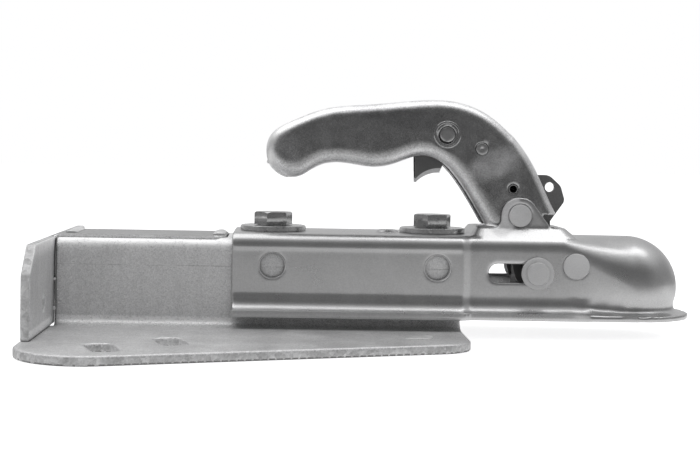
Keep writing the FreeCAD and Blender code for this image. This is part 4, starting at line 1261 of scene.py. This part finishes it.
@dataclass
class RivetedPin:
    """A pin across the object whose ends are upset into flat heads with an uneven rim.

    shank and head are radii, seat is where a head starts and height how far it stands out. uneven is how far
    its corners are moved, by the random pattern seed.
    """

    node: str
    place: Pair
    shank: float
    head: float
    seat: float
    height: float
    body: Body
    seed: int
    uneven: float = 0.09

    def build(self) -> None:
        """Turns the pin, batters its heads and dresses it."""
        top = self.seat + self.height
        soft = self.height * 0.35
        half = ((0.0, -top + 0.12), (self.head * 0.4, -top + 0.08), (self.head - 1.3, -top),
                (self.head - 0.45, -top + 0.06), (self.head - 0.1, -top + soft * 0.6),
                (self.head, -top + soft), (self.head - 0.05, -self.seat), (self.shank, -self.seat + 0.05))
        piece = Bench.turned(self.node + "_upset", both_ends(half), mid(self.place), steps=44)
        Bench.roughen(piece, self.uneven, self.seed)
        Bench.shade(piece, Shading.MACHINED)
        dress(piece, MATT_PIN, self.body, "bright_pin", self.node)


@dataclass
class Mechanism:
    """Pins, jaw, lock plate, trigger and latch."""

    slide_place: Pair = (-55.4, 8.6)
    washer_seat: float = 30.8
    washer_thickness: float = 1.5

    def pins(self) -> Sequence[RivetedPin]:
        """The three large pins of the coupling.

        Returns:
            The pins, ready to be built.
        """
        outside = self.washer_seat + self.washer_thickness
        return (RivetedPin("pivot_pin", (-63.9, 39.8), shank=6.0, head=6.3, seat=20.5, height=1.2,
                           body=Body.HOUSING, seed=2),
                RivetedPin("fixed_pin", (-34.2, 12.8), shank=6.0, head=7.2, seat=30.5, height=1.6,
                           body=Body.HOUSING, seed=4),
                RivetedPin("sliding_pin", self.slide_place, shank=5.0, head=6.4, seat=outside, height=2.0,
                           body=Body.JAW, seed=6))

    def slide_washers(self) -> None:
        """The washers under the heads of the sliding pin, turned once and copied to the far side."""
        low, high = -self.washer_seat, -self.washer_seat - self.washer_thickness
        profile = ((5.0, low), (8.8, low), (9.0, low - 0.2), (9.0, high + 0.3), (8.7, high), (5.0, high),
                   (5.0, low))
        near = Bench.turned("near_washer", profile, mid(self.slide_place), steps=40)
        Bench.roughen(near, 0.12, seed=9)
        Bench.shade(near, Shading.MACHINED)
        far = Bench.again(near, "far_washer", scale=(1.0, -1.0, 1.0))
        Bench.outward(far)
        dress(near, MATT_PIN, Body.JAW, "bright_pin", "near_slide_washer")
        dress(far, MATT_PIN, Body.JAW, "bright_pin", "far_slide_washer")

    def build(self) -> None:
        """Makes and dresses them all."""
        for pin in self.pins():
            pin.build()
        self.slide_washers()
        table = (("ball_jaw", CAST_JAW, Body.JAW, "cast_jaw"),
                 ("lock_plate", DARK_SHEET, Body.HOUSING, "dark_sheet"),
                 ("trigger", PAD_HIGHLIGHT_LEVER, Body.TRIGGER, "dark_sheet"),
                 ("latch_pawl", DARK_SHEET, Body.LATCH, "dark_sheet"))
        for node, finish, body, slot in table:
            piece = Bench.copy_of(node, node + "_dressed")
            Bench.shade(piece, Shading.MACHINED)
            dress(piece, finish, body, slot, node)


# Adapter


@dataclass
class DrawbarAdapter:
    """The hot-dip galvanised adapter: folded channel, wing plate and their welds.

    grid is the width of a face on the channel and fine_grid on the smaller pieces. Each drop of zinc has a
    place and a size along each axis. Below sheet_foot a rim of the sheet is a cut one, and so is one of the
    wing plate beyond wing_start; above tongue_level the plate's tongue lies on the tunnel.
    """

    grid: float = 1.25
    fine_grid: float = 0.8
    relax: int = 3
    ease: int = 2
    sheet_foot: float = -23.2
    wing_start: float = 24.0
    tongue_level: float = 24.0
    drop_places: tuple[tuple[Point, Point], ...] = (
        ((-319.7, -29.6, 1.6), (0.9, 0.9, 0.8)), ((-319.7, -29.6, -14.4), (1.0, 0.9, 1.1)),
        ((-319.7, 29.6, 6.0), (0.9, 0.9, 0.9)), ((-319.7, 29.6, -11.0), (1.0, 0.9, 0.8)),
        ((-316.3, -30.0, -9.4), (0.8, 0.4, 0.7)), ((-315.2, -30.0, -10.6), (0.5, 0.35, 0.6)),
        ((-317.2, -30.0, -11.3), (0.6, 0.35, 0.5)), ((-315.9, -30.0, -12.2), (0.4, 0.3, 0.4)),
        ((-317.6, -30.0, -8.2), (0.4, 0.3, 0.4)), ((-317.9, -30.0, -4.0), (0.35, 0.3, 0.5)),
        ((-122.5, -66.0, -22.9), (6.5, 5.0, 0.75)), ((-118.0, -62.0, -22.9), (3.0, 3.4, 0.8)),
        ((-127.5, -69.0, -22.95), (3.5, 2.4, 0.5)))

    def build(self) -> None:
        """Makes and dresses channel, end plate and welds."""
        table = (("adapter_channel", "folded_channel", self.grid, (HOT_DIP_ZINC, CUT_ZINC, DARK_TOP_ZINC)),
                 ("end_plate", "wing_plate", self.fine_grid, (HOT_DIP_ZINC, CUT_ZINC, DARK_TOP_ZINC)),
                 ("plug_welds", "tongue_welds", self.fine_grid, (WELD_ZINC,)))
        for node, name, grid, finishes in table:
            piece = Bench.rounded_copy(node, name, grid, self.relax, self.ease)
            for finish in finishes:
                piece.data.materials.append(finish.build())
            if len(finishes) > 1:
                self.mark_cut_edges(piece)
            Bench.shade(piece, Shading.ROUND)
            dress(piece, finishes[0], Body.HOUSING, "hot_dip_zinc", node)
        self.zinc_drops()

    def zinc_drops(self) -> None:
        """Zinc left by dipping: bridges across the gap, spatter beside it, and a puddle on the base."""
        half = ((0.0, 1.0), (0.38, 0.92), (0.72, 0.68), (0.94, 0.34))
        profile = [*half, (1.0, 0.0), *both_ends(half)[len(half):]]
        drop = Bench.turned("drop", profile, upright=True, steps=14)
        Bench.roughen(drop, 0.1, seed=12)
        drops = [Bench.again(drop, f"drop_{count}", place, scale)
                 for count, (place, scale) in enumerate(self.drop_places)]
        bpy.data.objects.remove(drop)
        piece = Bench.join("zinc_drops", drops)
        Bench.shade(piece, Shading.ROUND)
        dress(piece, WELD_ZINC, Body.HOUSING, "hot_dip_zinc")

    def mark_cut_edges(self, piece: Piece) -> None:
        """Gives the sawn and punched rims their rougher zinc, and the upward faces of the tongue a darker zinc.

        Args:
            piece: The channel or the wing plate.
        """
        plate = piece.name == "wing_plate"
        for face in piece.data.polygons:
            place, normal = face.center / MM, face.normal
            low = place.z < self.sheet_foot and abs(normal.z) < 0.3
            wing = plate and abs(normal.x) < 0.3 and abs(place.y) > self.wing_start
            if low or wing:
                face.material_index = 1
            elif plate and normal.z > 0.8 and place.z > self.tongue_level:
                face.material_index = 2


# Hardware


@dataclass
class Hardware:
    """The two bolts with their washers and nuts, modelled once and copied.

    top is where the large washers lie and roof the top of the tunnel, whose sheet is plate thick. Of the
    thread, shank and root are the radii. turn is how the hexagons stand, chamfer and corner_angle how their
    corners are turned off. A washer has its outer and inner radius and its thickness.
    """

    top: float = 28.5
    roof: float = 25.2
    plate: float = 5.0
    flats: float = 19.0
    turn: float = 12.0
    chamfer: float = 1.1
    corner_angle: float = 30.0
    edge: float = 0.14
    head_height: float = 7.5
    face_height: float = 0.45
    nut_height: float = 10.0
    shank: float = 6.0
    root: float = 5.1
    pitch: float = 1.75
    length: float = 30.0
    large_washer: Point = (18.5, 6.5, 3.0)
    small_washer: Point = (12.0, 6.5, 2.5)

    def hexagon(self, name: str, low: float, high: float, both: bool) -> Piece:
        """A hexagon whose corners are turned off at one or both ends.

        Args:
            name: The piece's name.
            low: Its lower face, in millimetres.
            high: Its upper face.
            both: Whether the lower corners are turned off too.

        Returns:
            The piece.
        """
        corner = self.flats / math.sqrt(3)
        middle = (low + high) / 2
        piece = Bench.cylinder(name, corner, high - low, (0.0, 0.0, middle), (0.0, 0.0, self.turn + 30.0), 6)
        fall = self.chamfer * math.tan(math.radians(self.corner_angle)) * 1.9
        flat, wide = corner - self.chamfer, corner + 0.9
        foot = [(0.0, low), (flat, low), (wide, low + fall)] if both else [(0.0, low), (wide, low)]
        profile = foot + [(wide, high - fall), (flat, high), (0.0, high)]
        Bench.cut(piece, Bench.turned(name + "_turning", profile, upright=True, steps=72), "INTERSECT")
        Bench.modify(piece, "BEVEL", width=self.edge * MM, segments=2, limit_method="ANGLE",
                     angle_limit=math.radians(20))
        return piece

    def thread(self, name: str, low: float, high: float) -> Piece:
        """A screw thread on its core, as one winding ridge with closed ends.

        Args:
            name: The piece's name.
            low: Where it starts, in millimetres.
            high: Where it ends.

        Returns:
            The ridge.
        """
        turns = int((high - low - self.pitch) / self.pitch)
        foot, crest = self.root - 0.3, self.shank - 0.05
        ridge = Bench.drawn(name, [(out, 0.0, low + self.pitch * rise) for out, rise in (
            (foot, 0.0), (crest, 0.42), (crest, 0.54), (foot, 0.96), (foot, 0.0))])
        Bench.edit(ridge, lambda: bpy.ops.mesh.remove_doubles(threshold=MERGE))
        Bench.modify(ridge, "SCREW", axis="Z", screw_offset=self.pitch * MM, iterations=turns, steps=24,
                     render_steps=24)

        def close() -> None:
            """Closes both ends and turns the faces outward."""
            bpy.ops.mesh.remove_doubles(threshold=MERGE)
            bpy.ops.mesh.select_all(action="DESELECT")
            bpy.ops.mesh.select_non_manifold()
            bpy.ops.mesh.fill_holes(sides=0)
            bpy.ops.mesh.select_all(action="SELECT")
            bpy.ops.mesh.normals_make_consistent(inside=False)
        Bench.edit(ridge, close)
        return ridge

    def bolt(self) -> Piece:
        """The bolt: chamfered head, washer face, shank and thread.

        Returns:
            The bolt, on the axis through the origin.
        """
        seat = self.top + self.large_washer[2]
        head = self.hexagon("bolt_head", seat + 0.4, seat + self.head_height, both=False)
        end = seat - self.length
        plain = self.roof - self.plate
        face, over = self.flats / 2 - 0.4, seat + self.face_height
        profile = ((0.0, end), (self.root - 1.0, end), (self.root, end + 0.9), (self.root, plain - 1.0),
                   (self.shank, plain), (self.shank, seat), (face, seat), (face, over), (0.0, over))
        core = Bench.turned("bolt_core", profile, upright=True)
        ridge = self.thread("bolt_thread", end + 0.6, plain - 0.5)
        return Bench.join("bolt", [head, core, ridge])

    def nut(self) -> Piece:
        """The nut: both ends chamfered, bored through.

        Returns:
            The nut, on the axis through the origin.
        """
        top = self.roof - self.plate - self.small_washer[2]
        piece = self.hexagon("nut", top - self.nut_height, top, both=True)
        Bench.cut(piece, Bench.cylinder("nut_bore", self.shank, self.nut_height + 2.0,
                                        (0.0, 0.0, top - self.nut_height / 2)))
        return piece

    @staticmethod
    def washer(name: str, sizes: Point, low: float, seed: int) -> Piece:
        """A punched washer: rounded on the punch's side, sharper below, and never quite flat.

        Args:
            name: The piece's name.
            sizes: Outer radius, inner radius and thickness, in millimetres.
            low: Its lower face, in millimetres.
            seed: Which of the random patterns.

        Returns:
            The washer, on the axis through the origin.
        """
        outer, inner, thick = sizes
        high = low + thick
        profile = ((inner, low), (outer - 0.3, low), (outer, low + 0.3), (outer, high - 0.8),
                   (outer - 0.25, high - 0.25), (outer - 0.9, high), (outer * 0.7, high), (inner + 0.3, high),
                   (inner, high - 0.3), (inner, low))
        piece = Bench.turned(name, profile, upright=True, steps=72)
        Bench.roughen(piece, 0.05, seed)
        return piece

    def build(self) -> None:
        """Makes the pieces once, copies them to both places and dresses them."""
        below = self.roof - self.plate - self.small_washer[2]
        patterns = {"bolt": self.bolt(), "nut": self.nut(),
                    "washer": self.washer("washer", self.large_washer, self.top, seed=21),
                    "small_washer": self.washer("small_washer", self.small_washer, below, seed=22)}
        for kind, pattern in patterns.items():
            Bench.shade(pattern, Shading.MACHINED)
            for end, along in zip(("rear", "front"), BOLT_PLACES):
                piece = Bench.again(pattern, f"{end}_{kind}_made", (along, 0.0, 0.0))
                finish = WASHER_ZINC if kind == "washer" else FASTENER_ZINC
                dress(piece, finish, Body.HOUSING, "fastener_zinc", f"{end}_{kind}")
            bpy.data.objects.remove(pattern)


# Studio


@dataclass(frozen=True)
class Softbox:
    """A rectangular lamp that hangs over a place and faces straight down: place, width and depth, power."""

    name: str
    place: Point
    size: Pair
    power: float

    def hang(self) -> None:
        """Adds the lamp; its size is in metres and its power in watts."""
        data = bpy.data.lights.new(self.name, "AREA")
        data.shape = "RECTANGLE"
        data.size, data.size_y = self.size
        data.energy = self.power
        lamp = bpy.data.objects.new(self.name, data)
        bpy.context.scene.collection.objects.link(lamp)
        place = Vector(self.place)
        lamp.location = place * MM
        lamp.rotation_euler = (Vector((place.x, place.y, 0.0)) - place).to_track_quat("-Z", "Y").to_euler()


@dataclass
class Studio:
    """White sweep, overhead softboxes, surroundings and the camera.

    The angles of the camera are in radians. near_sheen and far_sheen say how bright the floor looks in metal:
    the first two values are distances from the middle plane in metres, the third the brightness that fades
    out between them, on top of even_sheen. Each stop of the sky is a place on the arc from the back, over the
    top, to the viewer's side, with its brightness; ends is how bright it is to left and right, from the two
    shares of ends_start on. ambient is the plain light that it gives.
    """

    camera_place: Point = (-195.1, -804.9, 75.4)
    yaw: float = 0.0181
    pitch: float = 0.0228
    roll: float = 0.0174
    lens: float = 72.95
    sensor: float = 36.0
    shift: Pair = (0.057, -0.076)
    clip: Pair = (0.01, 50.0)
    floor_level: float = -28.05
    floor_middle: float = -140.0
    floor_size: float = 12.0
    floor_tone: float = 0.85
    floor_glow: float = 0.78
    near_sheen: Point = (0.04, 0.20, 0.30)
    far_sheen: Point = (0.25, 1.05, 0.62)
    even_sheen: float = 0.11
    stops: tuple[Pair, ...] = ((0.0, 0.66), (0.17, 0.60), (0.36, 0.80), (0.48, 0.88), (0.58, 0.72),
                               (0.67, 0.28), (0.75, 0.12), (0.88, 0.16), (1.0, 0.22))
    ends: float = 0.30
    ends_start: Pair = (0.6, 0.95)
    ambient: float = 0.50
    lamps: tuple[Softbox, ...] = (Softbox("head_softbox", (250.0, 40.0, 900.0), (0.70, 0.30), 1.1),
                                  Softbox("adapter_softbox", (-560.0, 200.0, 950.0), (0.8, 0.9), 2.4))

    def build(self) -> None:
        """Sets up floor, world, lamps and camera."""
        bpy.context.scene.view_settings.view_transform = "Standard"
        self.floor()
        self.world()
        for lamp in self.lamps:
            lamp.hang()
        self.camera()

    def floor(self) -> None:
        """A wide pale floor that shows white to the camera and keeps the object's shadow."""
        Bench.clear()
        bpy.ops.mesh.primitive_plane_add(size=self.floor_size,
                                         location=(self.floor_middle * MM, 0.0, self.floor_level * MM))
        plane = bpy.context.view_layer.objects.active
        plane.name = "studio_floor"
        Bench.settle(plane)
        made = bpy.data.materials.new("white_sweep")
        made.use_nodes = True
        graph = Graph(made.node_tree)
        output = graph.node("ShaderNodeOutputMaterial")
        rays = graph.node("ShaderNodeLightPath")
        matt = graph.node("ShaderNodeBsdfDiffuse")
        matt.inputs["Color"].default_value = grey(self.floor_tone)
        glow = graph.node("ShaderNodeEmission")
        glow.inputs["Color"].default_value = grey(1.0)
        graph.link(graph.math("MULTIPLY", rays.outputs["Is Camera Ray"], self.floor_glow),
                   glow.inputs["Strength"])
        both = graph.node("ShaderNodeAddShader")
        graph.link(matt.outputs[0], both.inputs[0])
        graph.link(glow.outputs[0], both.inputs[1])
        away = graph.math("ABSOLUTE", graph.axes(graph.node("ShaderNodeTexCoord").outputs["Object"])[1])
        near, far = (graph.span(away, start, end, brightness, 0.0)
                     for start, end, brightness in (self.near_sheen, self.far_sheen))
        sheen = graph.node("ShaderNodeEmission")
        graph.link(graph.math("ADD", graph.math("ADD", near, far), self.even_sheen), sheen.inputs["Strength"])
        shown = graph.node("ShaderNodeMixShader")
        graph.link(graph.mirrored(rays), shown.inputs[0])
        graph.link(both.outputs[0], shown.inputs[1])
        graph.link(sheen.outputs[0], shown.inputs[2])
        graph.link(shown.outputs[0], output.inputs["Surface"])
        plane.data.materials.append(made)

    def world(self) -> None:
        """Bright overhead, softer behind and dark toward the viewer, as a studio is."""
        world = bpy.data.worlds.new("studio")
        bpy.context.scene.world = world
        world.use_nodes = True
        graph = Graph(world.node_tree)
        output = graph.node("ShaderNodeOutputWorld")
        back = graph.node("ShaderNodeBackground")
        graph.link(back.outputs[0], output.inputs["Surface"])
        rays = graph.node("ShaderNodeLightPath")
        x, y, z = graph.axes(graph.node("ShaderNodeTexCoord").outputs["Generated"])
        height = graph.math("MAXIMUM", z, 0.0001)
        over = graph.math("DIVIDE", graph.math("ARCTAN2", height, y), math.pi)
        sky = graph.node("ShaderNodeValToRGB")
        graph.link(over, sky.inputs[0])
        while len(sky.color_ramp.elements) < len(self.stops):
            sky.color_ramp.elements.new(0.5)
        for stop, (position, value) in zip(sky.color_ramp.elements, self.stops):
            stop.position = position
            stop.color = grey(value)
        sideways = graph.span(graph.math("ABSOLUTE", x), *self.ends_start)
        studio = graph.blend(sideways, sky.outputs[0], grey(self.ends))
        light = graph.blend(graph.mirrored(rays), grey(self.ambient), studio)
        shown = graph.blend(rays.outputs["Is Camera Ray"], light, grey(1.0))
        graph.link(shown, back.inputs["Color"])

    def camera(self) -> None:
        """Places the camera at the photograph's viewing angle."""
        data = bpy.data.cameras.new("camera")
        data.sensor_width = self.sensor
        data.lens = self.lens
        data.shift_x, data.shift_y = self.shift
        data.clip_start, data.clip_end = self.clip
        camera = bpy.data.objects.new("camera", data)
        bpy.context.scene.collection.objects.link(camera)
        ahead = Vector((math.sin(self.yaw) * math.cos(self.pitch), math.cos(self.yaw) * math.cos(self.pitch),
                        -math.sin(self.pitch)))
        level = Vector((math.cos(self.yaw), -math.sin(self.yaw), 0.0))
        upright = level.cross(ahead)
        right = level * math.cos(self.roll) + upright * math.sin(self.roll)
        up = right.cross(ahead)
        turn = Matrix((right, up, -ahead)).transposed()
        camera.matrix_world = Matrix.Translation(Vector(self.camera_place) * MM) @ turn.to_4x4()
        bpy.context.scene.camera = camera


def main() -> None:
    """Builds every sub-assembly in order, then the studio."""
    logging.basicConfig(level=logging.INFO, format="%(message)s")
    for assembly in (CouplingShell(), GripHandle(), Mechanism(), DrawbarAdapter(), Hardware()):
        assembly.build()
    Studio().build()


if __name__ == "__main__":
    main()
